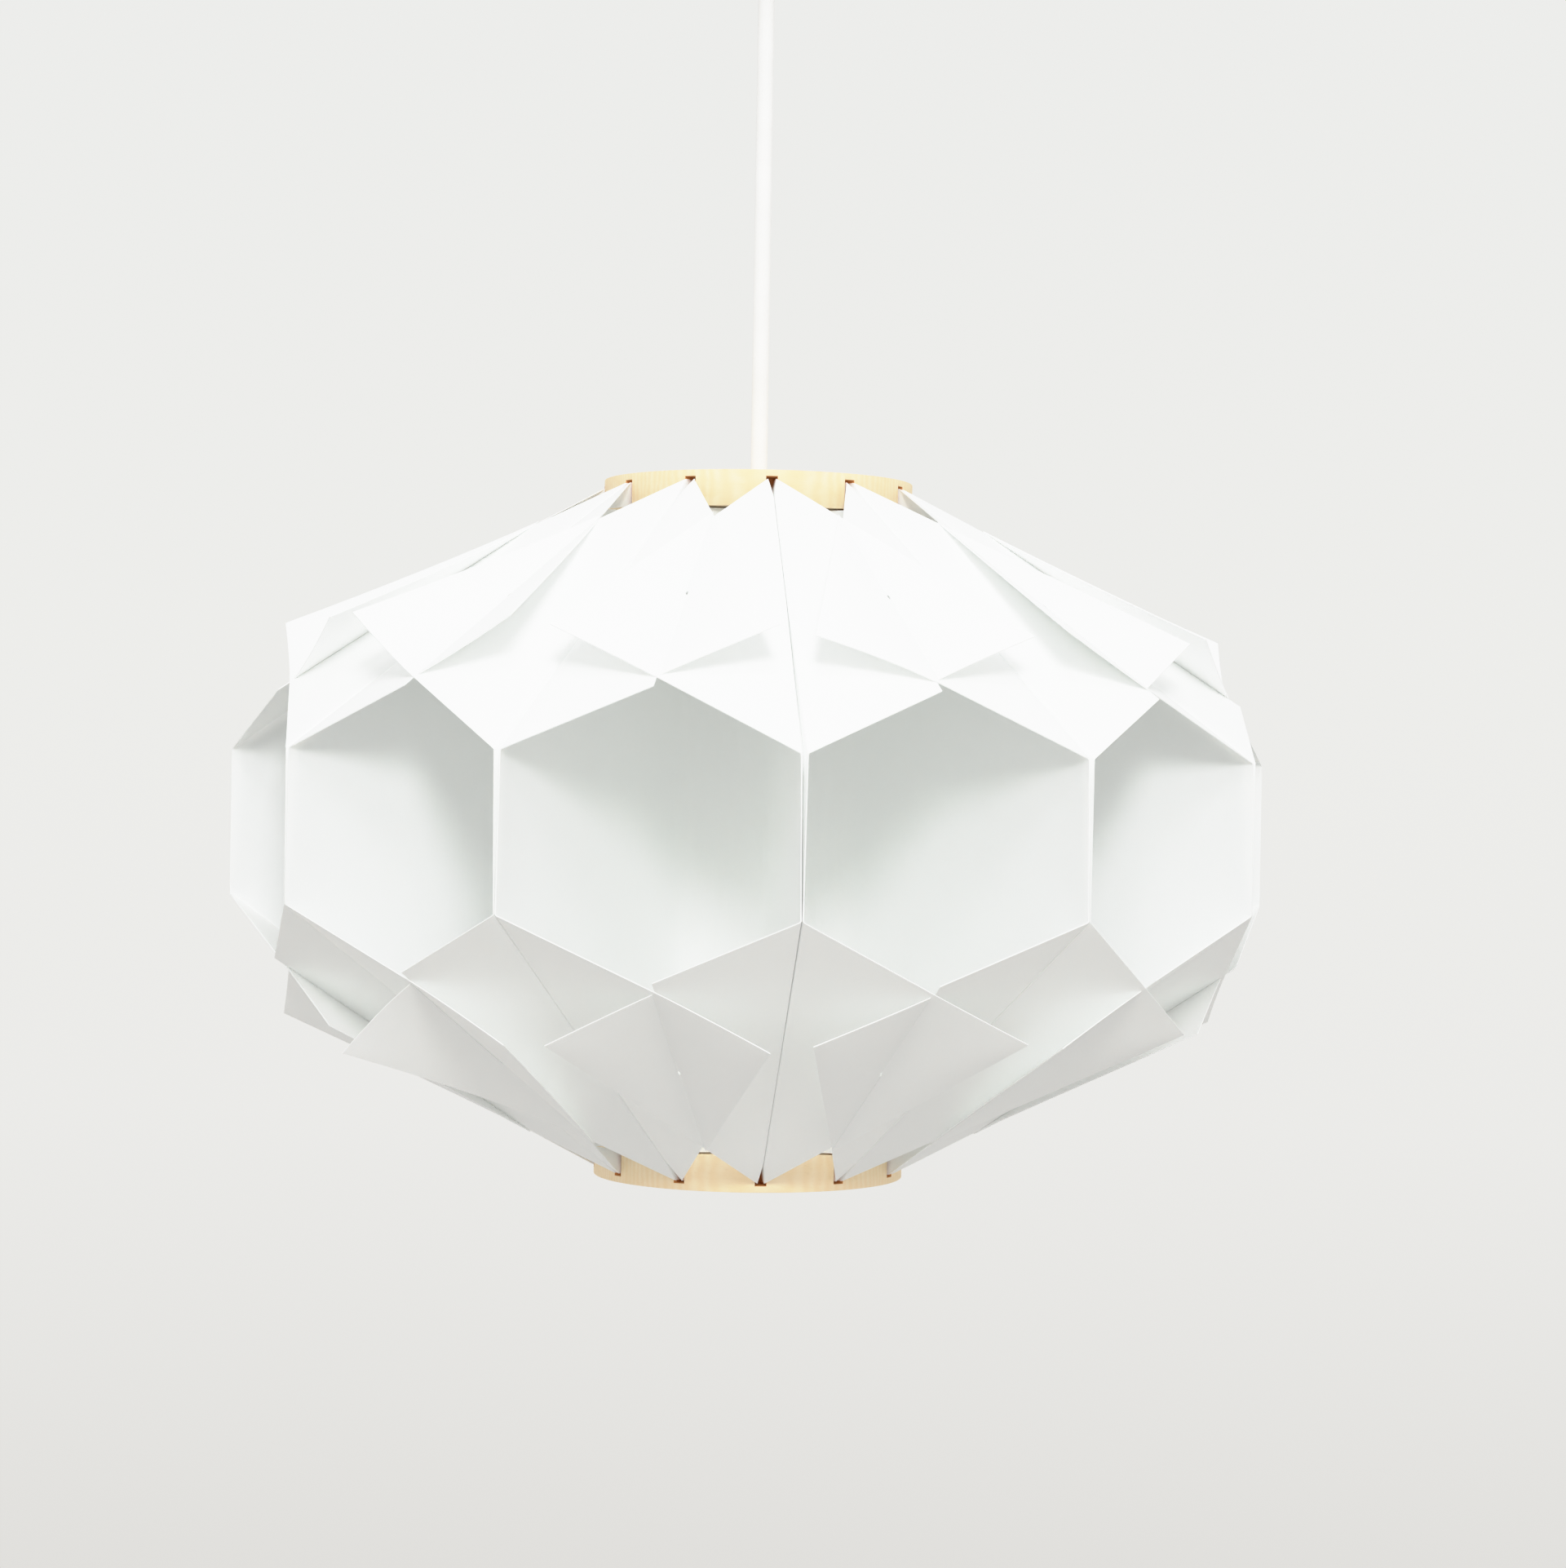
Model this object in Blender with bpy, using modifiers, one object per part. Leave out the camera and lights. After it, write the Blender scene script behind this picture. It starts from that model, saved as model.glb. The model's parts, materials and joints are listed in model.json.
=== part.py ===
"""Pendant lamp whose shade is a ring of folded paper leaves between two slotted wooden hubs.

Twelve identical paper leaves stand side by side around a vertical axis.  Each leaf is one sheet: a deep
upright pocket with two radial side walls and a rounded back, and four triangular wings folded across
the pocket's mouth along the side walls' slanting edges.  The two upper wings cross and lock in each
other's half slits, and so do the two lower ones.  The leaves' tips sit in the slots of a top hub and a
bottom hub.  The top hub rests on the lampholder, which hangs on a cord from a ceiling cup.

Metres, +Z up.  The origin is on the ceiling, above the lamp's axis, so the lamp lies below z = 0.
"""
import math

import bmesh
import bpy
from mathutils import Matrix, Vector

GAP = 0.0003                        # clearance between pieces that touch

# Shade: driving dimensions, in the shade's own frame with z = 0 at mid-height
LEAF_COUNT = 12
KNEE_RADIUS = 0.200                 # ridge, where it turns from the wing fold to the upright window edge
KNEE_HEIGHT = 0.0275                # half the height of the upright window edge
TIP_RADIUS = 0.0598                 # ridge, where it meets the hub's rim
TIP_HEIGHT = 0.130
CORNER = Vector((0.1733, 0.0390, 0.0710))   # free corner of a wing: outwards, past the leaf's middle, up
PAPER = 0.0005                      # sheet thickness
RIDGE_OFFSET = 0.0010               # a side wall to the plane between it and its neighbour
BACK_RADIUS = 0.0700                # the side walls turn into the rounded back here
BACK_COLUMNS = 8                    # faces round the back
WALL_TOP = 0.1165                   # the back ends below the hub
SLIT_HALF_WIDTH = 0.0013
SLIT_OVERRUN = 0.0018               # past the middle of the crossing, so that two slits clear each other
TAB_RADIUS = 0.0515                 # inner end of the tab that sits in the hub's slot
TAB_FOOT = 0.1222                   # lower end of the tab

HUB_RADIUS = 0.0595
HUB_HEIGHT = 0.0133
HUB_FACE = 0.1335                   # outer face of either hub, from mid-height
HUB_SLOT_WIDTH = 0.0043
HUB_SLOT_FLOOR = 0.0024             # wood left over a slot
HUB_SLOT_RADIUS = 0.0490            # inner end of a slot
TOP_HOLE_RADIUS = 0.0050
BOTTOM_HOLE_RADIUS = 0.0420

# Cord and ceiling cup, measured down from the ceiling
CORD_RADIUS = 0.00315
CUP_RADIUS = 0.046
CUP_HEIGHT = 0.045
CUP_WALL = 0.0016
CUP_SHOULDER = 0.0120               # radius of the rounded edge round the cup's floor
CUP_DRAFT = 0.0015                  # the cup's wall draws in by this much on its way down
CUP_SCREW_RADIUS = 0.0018
CUP_SCREW_HEAD = 0.0034
CUP_SCREW_LENGTH = 0.0085
CUP_SCREW_Z = -0.0090
BRACKET_HALF = 0.0405               # strap's middle to an ear
BRACKET_WIDTH = 0.018
BRACKET_SHEET = 0.0015
BRACKET_EAR = 0.015
BRACKET_HOLE = 0.0026
BRACKET_HOLE_SPREAD = 0.026
TERMINAL_SIZE = Vector((0.020, 0.014, 0.012))
TERMINAL_PITCH = 0.005              # from the block's middle to either way
TERMINAL_BORE = 0.0022
TERMINAL_SCREW_BORE = 0.0020
TERMINAL_SCREW = 0.0016
GRIP_NECK = 0.0050
GRIP_FLANGE = 0.0085
GRIP_REACH = 0.009                  # the neck above the cup's floor
GRIP_SCREW = 0.0016
GRIP_SCREW_RISE = 0.0055            # above the grip's mouth
GRIP_SCREW_LENGTH = 0.0038
GRIP_NUT_RADIUS = 0.0090
GRIP_NUT_HEIGHT = 0.0035
GRIP_DROP = 0.015                   # the grip's mouth below the cup
CORD_DROP = 0.2015                  # grip's mouth to the top hub
SWING_ROOM = 0.0015                 # cord's bend below the grip's mouth
CORD_TOP = -0.024                   # cord's end beside the terminals

GRIP_MOUTH = -(CUP_HEIGHT + GRIP_DROP)
SHADE_MID = GRIP_MOUTH - CORD_DROP - HUB_FACE

# Lampholder and bulb, in the shade's own frame
HUB_UNDERSIDE = HUB_FACE - HUB_HEIGHT
WASHER_HEIGHT = 0.0020
WASHER_RADIUS = 0.0135
HOLDER_TOP = HUB_UNDERSIDE - WASHER_HEIGHT - 2 * GAP
HOLDER_RADIUS = 0.0210
HOLDER_WALL = 0.0016
HOLDER_CAP_HEIGHT = 0.0260
HOLDER_SKIRT_HEIGHT = 0.0300
HOLDER_CROWN = 0.0140               # flat top of the cap, inside its rounded shoulder
HOLDER_BORE = 0.0176
HOLDER_LAP = 0.0080                 # the body's neck inside the cap
HOLDER_BURIED_CORD = 0.0085         # cord below the top of the cap
INSERT_HEIGHT = 0.0130
INSERT_RISE = 0.0055                # the insert's top above the joint of cap and body
CLAMP_RADIUS = 0.0085
CLAMP_HEIGHT = 0.0060
SHELL_RADIUS = 0.0143
SHELL_WALL = 0.0005
CONTACT_STRIP = 0.0004
CONTACT_HALF_WIDTH = 0.0025
BULB_TOP = 0.0800
BULB_LENGTH = 0.1080
BULB_RADIUS = 0.0300
BULB_CAP_RADIUS = 0.0131
BULB_CAP_WALL = 0.0005
BULB_CAP_LENGTH = 0.0255
BULB_COLLAR = 0.0060                # glass inside the screw cap
BULB_TIP_HEIGHT = 0.0018
BULB_WALL = 0.0008
BULB_SHOULDER = math.radians(35)    # where the neck's flare meets the globe, above its middle

SEGMENTS = 40                       # round a turned piece


def clear_scene():
    for old in list(bpy.data.objects):
        bpy.data.objects.remove(old, do_unlink=True)


def collection(name):
    group = bpy.data.collections.get(name) or bpy.data.collections.new(name)
    if group.name not in bpy.context.scene.collection.children:
        bpy.context.scene.collection.children.link(group)
    return group


def material(name, color, roughness, metallic=0.0, alpha=1.0):
    made = bpy.data.materials.get(name)
    if made:
        return made
    made = bpy.data.materials.new(name)
    made.use_nodes = True
    shader = made.node_tree.nodes["Principled BSDF"]
    shader.inputs["Base Color"].default_value = (*color, 1.0)
    shader.inputs["Roughness"].default_value = roughness
    shader.inputs["Metallic"].default_value = metallic
    shader.inputs["Alpha"].default_value = alpha
    return made


def paper():
    return material("white_paper", (0.93, 0.93, 0.91), 0.85)


def wood():
    return material("light_wood", (0.80, 0.62, 0.42), 0.60)


def textile():
    return material("white_textile", (0.86, 0.85, 0.82), 0.90)


def white_plastic():
    return material("white_plastic", (0.85, 0.85, 0.83), 0.40)


def steel():
    return material("zinc_steel", (0.62, 0.62, 0.63), 0.35, 1.0)


def brass():
    return material("brass", (0.78, 0.62, 0.32), 0.30, 1.0)


def ceramic():
    return material("white_ceramic", (0.88, 0.87, 0.84), 0.30)


def opal_glass():
    return material("opal_glass", (0.95, 0.95, 0.93), 0.25, 0.0, 0.9)


def rubber():
    return material("grey_rubber", (0.30, 0.30, 0.30), 0.80)


def add_object(name, mesh, finish, group="paper_pendant_lamp"):
    thing = bpy.data.objects.new(name, mesh)
    collection(group).objects.link(thing)
    if finish:
        mesh.materials.clear()
        mesh.materials.append(finish)
    return thing


def from_bmesh(name, shape, finish, group="paper_pendant_lamp"):
    mesh = bpy.data.meshes.new(name)
    shape.to_mesh(mesh)
    shape.free()
    return add_object(name, mesh, finish, group)


def turned(name, profile, finish, closed=True, segments=SEGMENTS, lift=0.0):
    """Turn a profile of (radius, z) points about Z.  Its outer side runs from top to bottom."""
    mesh = bpy.data.meshes.new(name)
    count = len(profile)
    edges = [(i, i + 1) for i in range(count - 1)]
    if closed:
        edges.append((count - 1, 0))
    mesh.from_pydata([(radius, 0.0, z) for radius, z in profile], edges, [])
    thing = add_object(name, mesh, finish)
    thing.location = (0.0, 0.0, lift)
    screw = thing.modifiers.new("Turn", "SCREW")
    screw.axis = "Z"
    screw.steps = segments
    screw.render_steps = segments
    screw.use_merge_vertices = True
    screw.merge_threshold = 0.00001
    screw.use_smooth_shade = False
    return thing


def ring_profile(outer, inner, top, bottom):
    """Section of a ring, or of a solid disc where inner is 0 and the profile is left open."""
    if inner == 0.0:
        return [(0.0, top), (outer, top), (outer, bottom), (0.0, bottom)]
    return [(outer, top), (outer, bottom), (inner, bottom), (inner, top)]


def cutter(name, shape):
    tool = from_bmesh(name, shape, None, "cutters")
    tool.hide_render = True
    tool.display_type = "WIRE"
    return tool


def cut(thing, tool):
    boolean = thing.modifiers.new("Cut", "BOOLEAN")
    boolean.operation = "DIFFERENCE"
    boolean.solver = "EXACT"
    boolean.object = tool


def cylinder(shape, radius, length, place, segments=24):
    bmesh.ops.create_cone(
        shape, cap_ends=True, segments=segments, radius1=radius, radius2=radius, depth=length, matrix=place)


def box(shape, size, place):
    scale = Matrix.Diagonal((*size, 1.0))
    bmesh.ops.create_cube(shape, size=1.0, matrix=place @ scale)


def along_x(x, y, z):
    return Matrix.Translation((x, y, z)) @ Matrix.Rotation(math.pi / 2, 4, "Y")


# ---------------------------------------------------------------- paper leaves

def ridge_point(radius, height, side):
    """Point in the plane of a leaf's side wall.  The leaf's middle lies along +X, and side is +1 or -1."""
    angle = math.pi / LEAF_COUNT
    x = radius * math.cos(angle) + RIDGE_OFFSET * math.sin(angle)
    y = radius * math.sin(angle) - RIDGE_OFFSET * math.cos(angle)
    return Vector((x, side * y, height))


def wall_back(height):
    """Rounded back of the wall, from the left side wall to the right one, tangent to both."""
    angle = math.pi / LEAF_COUNT
    end = ridge_point(BACK_RADIUS, height, 1)
    bend = end.y / math.cos(angle)
    centre = end.x + bend * math.sin(angle)
    reach = math.pi / 2 - angle
    row = []
    for column in range(BACK_COLUMNS + 1):
        turn = reach * (2 * column / BACK_COLUMNS - 1)
        row.append(Vector((centre - bend * math.cos(turn), bend * math.sin(turn), height)))
    return row


def add_wing(shape, tip, knee, corner, slit_from_tip):
    """One triangular wing from the ridge between tip and knee, with a half slit cut in it."""
    crossing = []
    for start in (tip.co, knee.co):
        edge = corner - start
        crossing.append(start + edge * (start.y / (start.y - corner.y)))
    line = crossing[1] - crossing[0]
    middle = crossing[0] + line / 2
    along = line.normalized()
    normal = (knee.co - tip.co).cross(corner - tip.co).normalized()
    across = along.cross(normal)
    if across.dot(corner - middle) < 0:
        across = -across
    start, mouth = (tip.co, crossing[0]) if slit_from_tip else (knee.co, crossing[1])
    edge = (corner - start).normalized()
    spread = SLIT_HALF_WIDTH / edge.dot(across)
    end = middle + along * (SLIT_OVERRUN if slit_from_tip else -SLIT_OVERRUN)
    slit = [mouth - edge * spread, end - across * SLIT_HALF_WIDTH,
            end + across * SLIT_HALF_WIDTH, mouth + edge * spread]
    outline = [corner] + slit[::-1] if slit_from_tip else slit + [corner]
    shape.faces.new([tip, knee] + [shape.verts.new(point) for point in outline])


def leaf_mesh():
    """One leaf with its middle along +X: the wall's back, its two side walls and the four wings."""
    shape = bmesh.new()
    low = [shape.verts.new(point) for point in wall_back(-WALL_TOP)]
    high = [shape.verts.new(point) for point in wall_back(WALL_TOP)]
    for i in range(BACK_COLUMNS):
        shape.faces.new((low[i], low[i + 1], high[i + 1], high[i]))
    for side in (1, -1):
        column = BACK_COLUMNS if side > 0 else 0
        outline = [(KNEE_RADIUS, KNEE_HEIGHT), (TIP_RADIUS, TIP_HEIGHT), (TAB_RADIUS, TIP_HEIGHT),
                   (TAB_RADIUS, TAB_FOOT)]
        upper = [shape.verts.new(ridge_point(radius, z, side)) for radius, z in outline]
        lower = [shape.verts.new(ridge_point(radius, -z, side)) for radius, z in outline]
        shape.faces.new(upper + [high[column], low[column]] + lower[::-1])
        for up, (knee, tip) in ((1, upper[:2]), (-1, lower[:2])):
            corner = Vector((CORNER.x, -side * CORNER.y, up * CORNER.z))
            add_wing(shape, tip, knee, corner, slit_from_tip=(up * side > 0))
    bmesh.ops.recalc_face_normals(shape, faces=shape.faces)
    bmesh.ops.triangulate(shape, faces=[f for f in shape.faces if len(f.verts) > 4])
    mesh = bpy.data.meshes.new("paper_leaf")
    shape.to_mesh(mesh)
    shape.free()
    return mesh


def paper_leaves():
    mesh = leaf_mesh()
    for index in range(LEAF_COUNT):
        leaf = add_object(f"paper_leaf_{index + 1:02d}", mesh, None)
        turn = -math.pi / 2 + (index + 0.5) * 2 * math.pi / LEAF_COUNT
        leaf.rotation_euler = (0.0, 0.0, turn)
        leaf.location = (0.0, 0.0, SHADE_MID)
        sheet = leaf.modifiers.new("Sheet", "SOLIDIFY")
        sheet.thickness = PAPER
        sheet.offset = 0.0
        sheet.use_even_offset = True
    mesh.materials.append(paper())


# ---------------------------------------------------------------- wooden hubs

def hub(name, side, hole_radius):
    """Slotted disc.  side is +1 for the top hub, whose slots open downwards, and -1 for the bottom one."""
    outer, inner = side * HUB_FACE, side * HUB_UNDERSIDE
    top, bottom = max(outer, inner), min(outer, inner)
    disc = turned(name, ring_profile(HUB_RADIUS, hole_radius, top, bottom), wood(), segments=72,
                  lift=SHADE_MID)
    overrun = 0.002
    reach = HUB_RADIUS + overrun - HUB_SLOT_RADIUS
    depth = HUB_HEIGHT - HUB_SLOT_FLOOR + overrun
    shape = bmesh.new()
    for index in range(LEAF_COUNT):
        turn = Matrix.Rotation(-math.pi / 2 + index * 2 * math.pi / LEAF_COUNT, 4, "Z")
        middle = side * (HUB_UNDERSIDE - overrun + depth / 2)
        place = turn @ Matrix.Translation((HUB_SLOT_RADIUS + reach / 2, 0.0, middle))
        box(shape, (reach, HUB_SLOT_WIDTH, depth), place)
    tool = cutter(f"{name}_slots", shape)
    tool.location = (0.0, 0.0, SHADE_MID)
    cut(disc, tool)


# ---------------------------------------------------------------- cord

def cord_piece(name, low, high, spacing=0.016):
    """Straight round tube of cord between two heights on the axis."""
    count = max(2, round((high - low) / spacing))
    curve = bpy.data.curves.new(name, "CURVE")
    curve.dimensions = "3D"
    curve.bevel_depth = CORD_RADIUS
    curve.bevel_resolution = 3
    curve.use_fill_caps = True
    route = curve.splines.new("POLY")
    route.points.add(count)
    for index, point in enumerate(route.points):
        point.co = (0.0, 0.0, high + (low - high) * index / count, 1.0)
    thing = bpy.data.objects.new(name, curve)
    collection("paper_pendant_lamp").objects.link(thing)
    curve.materials.append(textile())


def cords():
    cord_piece("pendant_cord", SHADE_MID + HOLDER_TOP - HOLDER_BURIED_CORD, GRIP_MOUTH - SWING_ROOM)
    cord_piece("cord_in_cup", GRIP_MOUTH + GAP, CORD_TOP)


# ---------------------------------------------------------------- ceiling cup

def ceiling_cup():
    floor = -CUP_HEIGHT
    bend = floor + CUP_SHOULDER
    outer = [(CUP_RADIUS, -GAP), (CUP_RADIUS - CUP_DRAFT, bend)]
    inner = [(CUP_RADIUS - CUP_DRAFT - CUP_WALL, bend), (CUP_RADIUS - CUP_WALL, -GAP)]
    centre = CUP_RADIUS - CUP_DRAFT - CUP_SHOULDER
    steps = 5
    for index in range(1, steps + 1):
        turn = -math.pi / 2 * index / steps
        across, along = math.cos(turn), math.sin(turn)
        thin = CUP_SHOULDER - CUP_WALL
        outer.append((centre + CUP_SHOULDER * across, bend + CUP_SHOULDER * along))
        inner.insert(0, (centre + thin * across, bend + thin * along))
    hole = GRIP_NECK + GAP
    profile = outer + [(hole, floor), (hole, floor + CUP_WALL)] + inner
    cup = turned("ceiling_cup", profile, white_plastic())
    shape = bmesh.new()
    cylinder(shape, CUP_SCREW_RADIUS + GAP, 3 * CUP_RADIUS, along_x(0.0, 0.0, CUP_SCREW_Z))
    cut(cup, cutter("cup_screw_holes", shape))


def ceiling_bracket():
    """Steel strap with two ears turned down, and a hole for each ceiling screw."""
    half, width, sheet = BRACKET_HALF, BRACKET_WIDTH / 2, BRACKET_SHEET
    shape = bmesh.new()
    line = [(-half, -BRACKET_EAR), (-half, -sheet / 2), (half, -sheet / 2), (half, -BRACKET_EAR)]
    rows = [[shape.verts.new((x, y, z)) for x, z in line] for y in (-width, width)]
    for i in range(len(line) - 1):
        shape.faces.new((rows[0][i], rows[0][i + 1], rows[1][i + 1], rows[1][i]))
    bracket = from_bmesh("ceiling_bracket", shape, steel())
    strap = bracket.modifiers.new("Strap", "SOLIDIFY")
    strap.thickness = sheet
    strap.offset = 0.0
    strap.use_even_offset = True
    holes = bmesh.new()
    for x in (-BRACKET_HOLE_SPREAD, BRACKET_HOLE_SPREAD):
        cylinder(holes, BRACKET_HOLE, 0.010, Matrix.Translation((x, 0.0, -sheet / 2)))
    cylinder(holes, CUP_SCREW_RADIUS + GAP, 3 * CUP_RADIUS, along_x(0.0, 0.0, CUP_SCREW_Z))
    cut(bracket, cutter("bracket_holes", holes))


def cup_screws():
    """Two side screws that hold the cup to the bracket's ears."""
    reach = CUP_RADIUS + GAP
    for name, side in (("cup_screw_left", -1), ("cup_screw_right", 1)):
        profile = [(0.0, 0.0020), (0.0024, 0.0020), (CUP_SCREW_HEAD, 0.0010), (CUP_SCREW_HEAD, 0.0),
                   (CUP_SCREW_RADIUS, 0.0), (CUP_SCREW_RADIUS, -CUP_SCREW_LENGTH), (0.0, -CUP_SCREW_LENGTH)]
        screw = turned(name, profile, steel(), closed=False, segments=20)
        screw.rotation_euler = (0.0, side * math.pi / 2, 0.0)
        screw.location = (side * reach, 0.0, CUP_SCREW_Z)


def terminal_block():
    """Two-way terminal block under the strap, with its brass clamp screws."""
    size = TERMINAL_SIZE
    middle = -BRACKET_SHEET - GAP - size.z / 2
    front = -size.y / 2
    sideways = Matrix.Rotation(math.pi / 2, 4, "X")
    shape = bmesh.new()
    box(shape, size, Matrix.Translation((0.0, 0.0, middle)))
    bmesh.ops.bevel(shape, geom=shape.edges[:], offset=0.0008, segments=1, affect="EDGES")
    block = from_bmesh("terminal_block", shape, white_plastic())
    holes = bmesh.new()
    ways = (("terminal_screw_left", -TERMINAL_PITCH), ("terminal_screw_right", TERMINAL_PITCH))
    for _, x in ways:
        cylinder(holes, TERMINAL_BORE, 0.008, Matrix.Translation((x, 0.0, middle - size.z / 2)), 16)
        cylinder(holes, TERMINAL_SCREW_BORE, 0.007, Matrix.Translation((x, front, middle)) @ sideways, 16)
    cut(block, cutter("terminal_holes", holes))
    for name, x in ways:
        profile = ring_profile(TERMINAL_SCREW, 0.0, 0.0015, -0.0015)
        screw = turned(name, profile, brass(), closed=False, segments=16)
        screw.rotation_euler = (math.pi / 2, 0.0, 0.0)
        screw.location = (x, front + 0.0016, middle)


def cord_grip():
    """Threaded bush through the cup's floor, its nut inside the cup and its cord screw below."""
    floor = -CUP_HEIGHT
    bore = CORD_RADIUS + GAP
    top = floor + GRIP_REACH
    under = floor - GAP
    sideways = Matrix.Rotation(math.pi / 2, 4, "X")
    profile = [(GRIP_NECK, top), (GRIP_NECK, under), (GRIP_FLANGE, under), (GRIP_FLANGE, under - 0.0025),
               (0.0068, under - 0.0040), (0.0060, GRIP_MOUTH + 0.001), (0.0055, GRIP_MOUTH),
               (bore, GRIP_MOUTH), (bore, top)]
    grip = turned("cord_grip", profile, white_plastic(), segments=32)
    screw_z = GRIP_MOUTH + GRIP_SCREW_RISE
    holes = bmesh.new()
    cylinder(holes, GRIP_SCREW + GAP, 0.010, Matrix.Translation((0.0, -0.0080, screw_z)) @ sideways, 16)
    cut(grip, cutter("grip_screw_hole", holes))
    screw = turned("grip_screw", ring_profile(GRIP_SCREW, 0.0, 0.0, -GRIP_SCREW_LENGTH), white_plastic(),
                   closed=False, segments=16)
    screw.rotation_euler = (math.pi / 2, 0.0, 0.0)
    screw.location = (0.0, -(bore + GRIP_SCREW_LENGTH), screw_z)
    nut_middle = Matrix.Translation((0.0, 0.0, floor + CUP_WALL + GAP + GRIP_NUT_HEIGHT / 2))
    shape = bmesh.new()
    cylinder(shape, GRIP_NUT_RADIUS, GRIP_NUT_HEIGHT, nut_middle, 6)
    nut = from_bmesh("grip_nut", shape, white_plastic())
    hole = bmesh.new()
    cylinder(hole, GRIP_NECK + GAP, 0.010, nut_middle, 32)
    cut(nut, cutter("grip_nut_hole", hole))


# ---------------------------------------------------------------- lampholder

def holder_cap(top, joint):
    """Rounded cap with the cord's hole in its top."""
    outer = [(HOLDER_CROWN, top)]
    inner = [(HOLDER_CROWN, top - HOLDER_WALL)]
    drop = HOLDER_RADIUS - HOLDER_CROWN
    steps = 5
    for index in range(1, steps + 1):
        turn = math.pi / 2 * (1 - index / steps)
        across, along = math.cos(turn), math.sin(turn)
        thin = drop - HOLDER_WALL
        outer.append((HOLDER_CROWN + drop * across, top - drop + drop * along))
        inner.insert(0, (HOLDER_CROWN + thin * across, top - drop + thin * along))
    hole = CORD_RADIUS + GAP
    skirt = [(HOLDER_RADIUS, joint), (HOLDER_RADIUS - HOLDER_WALL, joint)]
    profile = outer + skirt + inner + [(hole, top - HOLDER_WALL), (hole, top)]
    turned("lampholder_cap", profile, white_plastic(), lift=SHADE_MID)


def holder_body(joint, low):
    """Skirted body, whose neck goes up inside the cap."""
    neck = HOLDER_RADIUS - HOLDER_WALL - 0.0004
    chamfer = 0.001
    profile = [(neck, joint + HOLDER_LAP), (neck, joint - GAP), (HOLDER_RADIUS, joint - GAP),
               (HOLDER_RADIUS, low + chamfer), (HOLDER_RADIUS - chamfer, low), (HOLDER_BORE, low),
               (HOLDER_BORE, joint + HOLDER_LAP)]
    turned("lampholder_body", profile, white_plastic(), lift=SHADE_MID)


def centre_contact(root):
    """Sprung brass strip from the insert to the bulb's tip."""
    shape = bmesh.new()
    line = [(-0.0095, root), (-0.0060, root), (-0.0020, BULB_TOP + 0.0012), (0.0030, BULB_TOP + 0.0008)]
    rows = [[shape.verts.new((x, y, z)) for x, z in line] for y in (-CONTACT_HALF_WIDTH, CONTACT_HALF_WIDTH)]
    for i in range(len(line) - 1):
        shape.faces.new((rows[0][i], rows[0][i + 1], rows[1][i + 1], rows[1][i]))
    contact = from_bmesh("centre_contact", shape, brass())
    contact.location = (0.0, 0.0, SHADE_MID)
    strip = contact.modifiers.new("Strip", "SOLIDIFY")
    strip.thickness = CONTACT_STRIP
    strip.offset = 0.0
    strip.use_even_offset = True


def lampholder():
    joint = HOLDER_TOP - HOLDER_CAP_HEIGHT
    low = joint - GAP - HOLDER_SKIRT_HEIGHT
    holder_cap(HOLDER_TOP, joint)
    holder_body(joint, low)

    insert_top = joint + INSERT_RISE
    insert_low = insert_top - INSERT_HEIGHT
    insert = ring_profile(HOLDER_BORE - GAP, 0.0, insert_top, insert_low)
    turned("contact_insert", insert, ceramic(), closed=False, lift=SHADE_MID)
    shell = ring_profile(SHELL_RADIUS, SHELL_RADIUS - SHELL_WALL, insert_low - GAP, low + 0.0020)
    turned("threaded_shell", shell, brass(), lift=SHADE_MID)
    centre_contact(insert_low - CONTACT_STRIP)

    clamp_top = HOLDER_TOP - HOLDER_WALL - GAP
    clamp = ring_profile(CLAMP_RADIUS, CORD_RADIUS + GAP, clamp_top, clamp_top - CLAMP_HEIGHT)
    turned("cord_clamp", clamp, steel(), segments=32, lift=SHADE_MID)
    washer_top = HUB_UNDERSIDE - GAP
    washer = ring_profile(WASHER_RADIUS, CORD_RADIUS + 0.0010, washer_top, washer_top - WASHER_HEIGHT)
    turned("hub_washer", washer, rubber(), lift=SHADE_MID)


# ---------------------------------------------------------------- bulb

def globe_profile(rim):
    """Outer side of the glass: its collar in the cap, a flared neck and a round globe."""
    bottom = BULB_TOP - BULB_LENGTH
    centre = bottom + BULB_RADIUS
    neck = BULB_CAP_RADIUS - BULB_CAP_WALL - GAP
    join = Vector((BULB_RADIUS * math.cos(BULB_SHOULDER), centre + BULB_RADIUS * math.sin(BULB_SHOULDER)))
    outer = [(neck, rim + BULB_COLLAR - GAP), (neck, rim)]
    flare_steps, globe_steps = 4, 10
    for index in range(1, flare_steps):
        share = index / flare_steps
        ease = share * share * (3 - 2 * share)
        outer.append((neck + (join.x - neck) * (0.35 * share + 0.65 * ease), rim + (join.y - rim) * share))
    for index in range(globe_steps):
        turn = BULB_SHOULDER - (BULB_SHOULDER + math.pi / 2) * index / globe_steps
        outer.append((BULB_RADIUS * math.cos(turn), centre + BULB_RADIUS * math.sin(turn)))
    outer.append((0.0, bottom))
    return outer, centre, join.y


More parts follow.
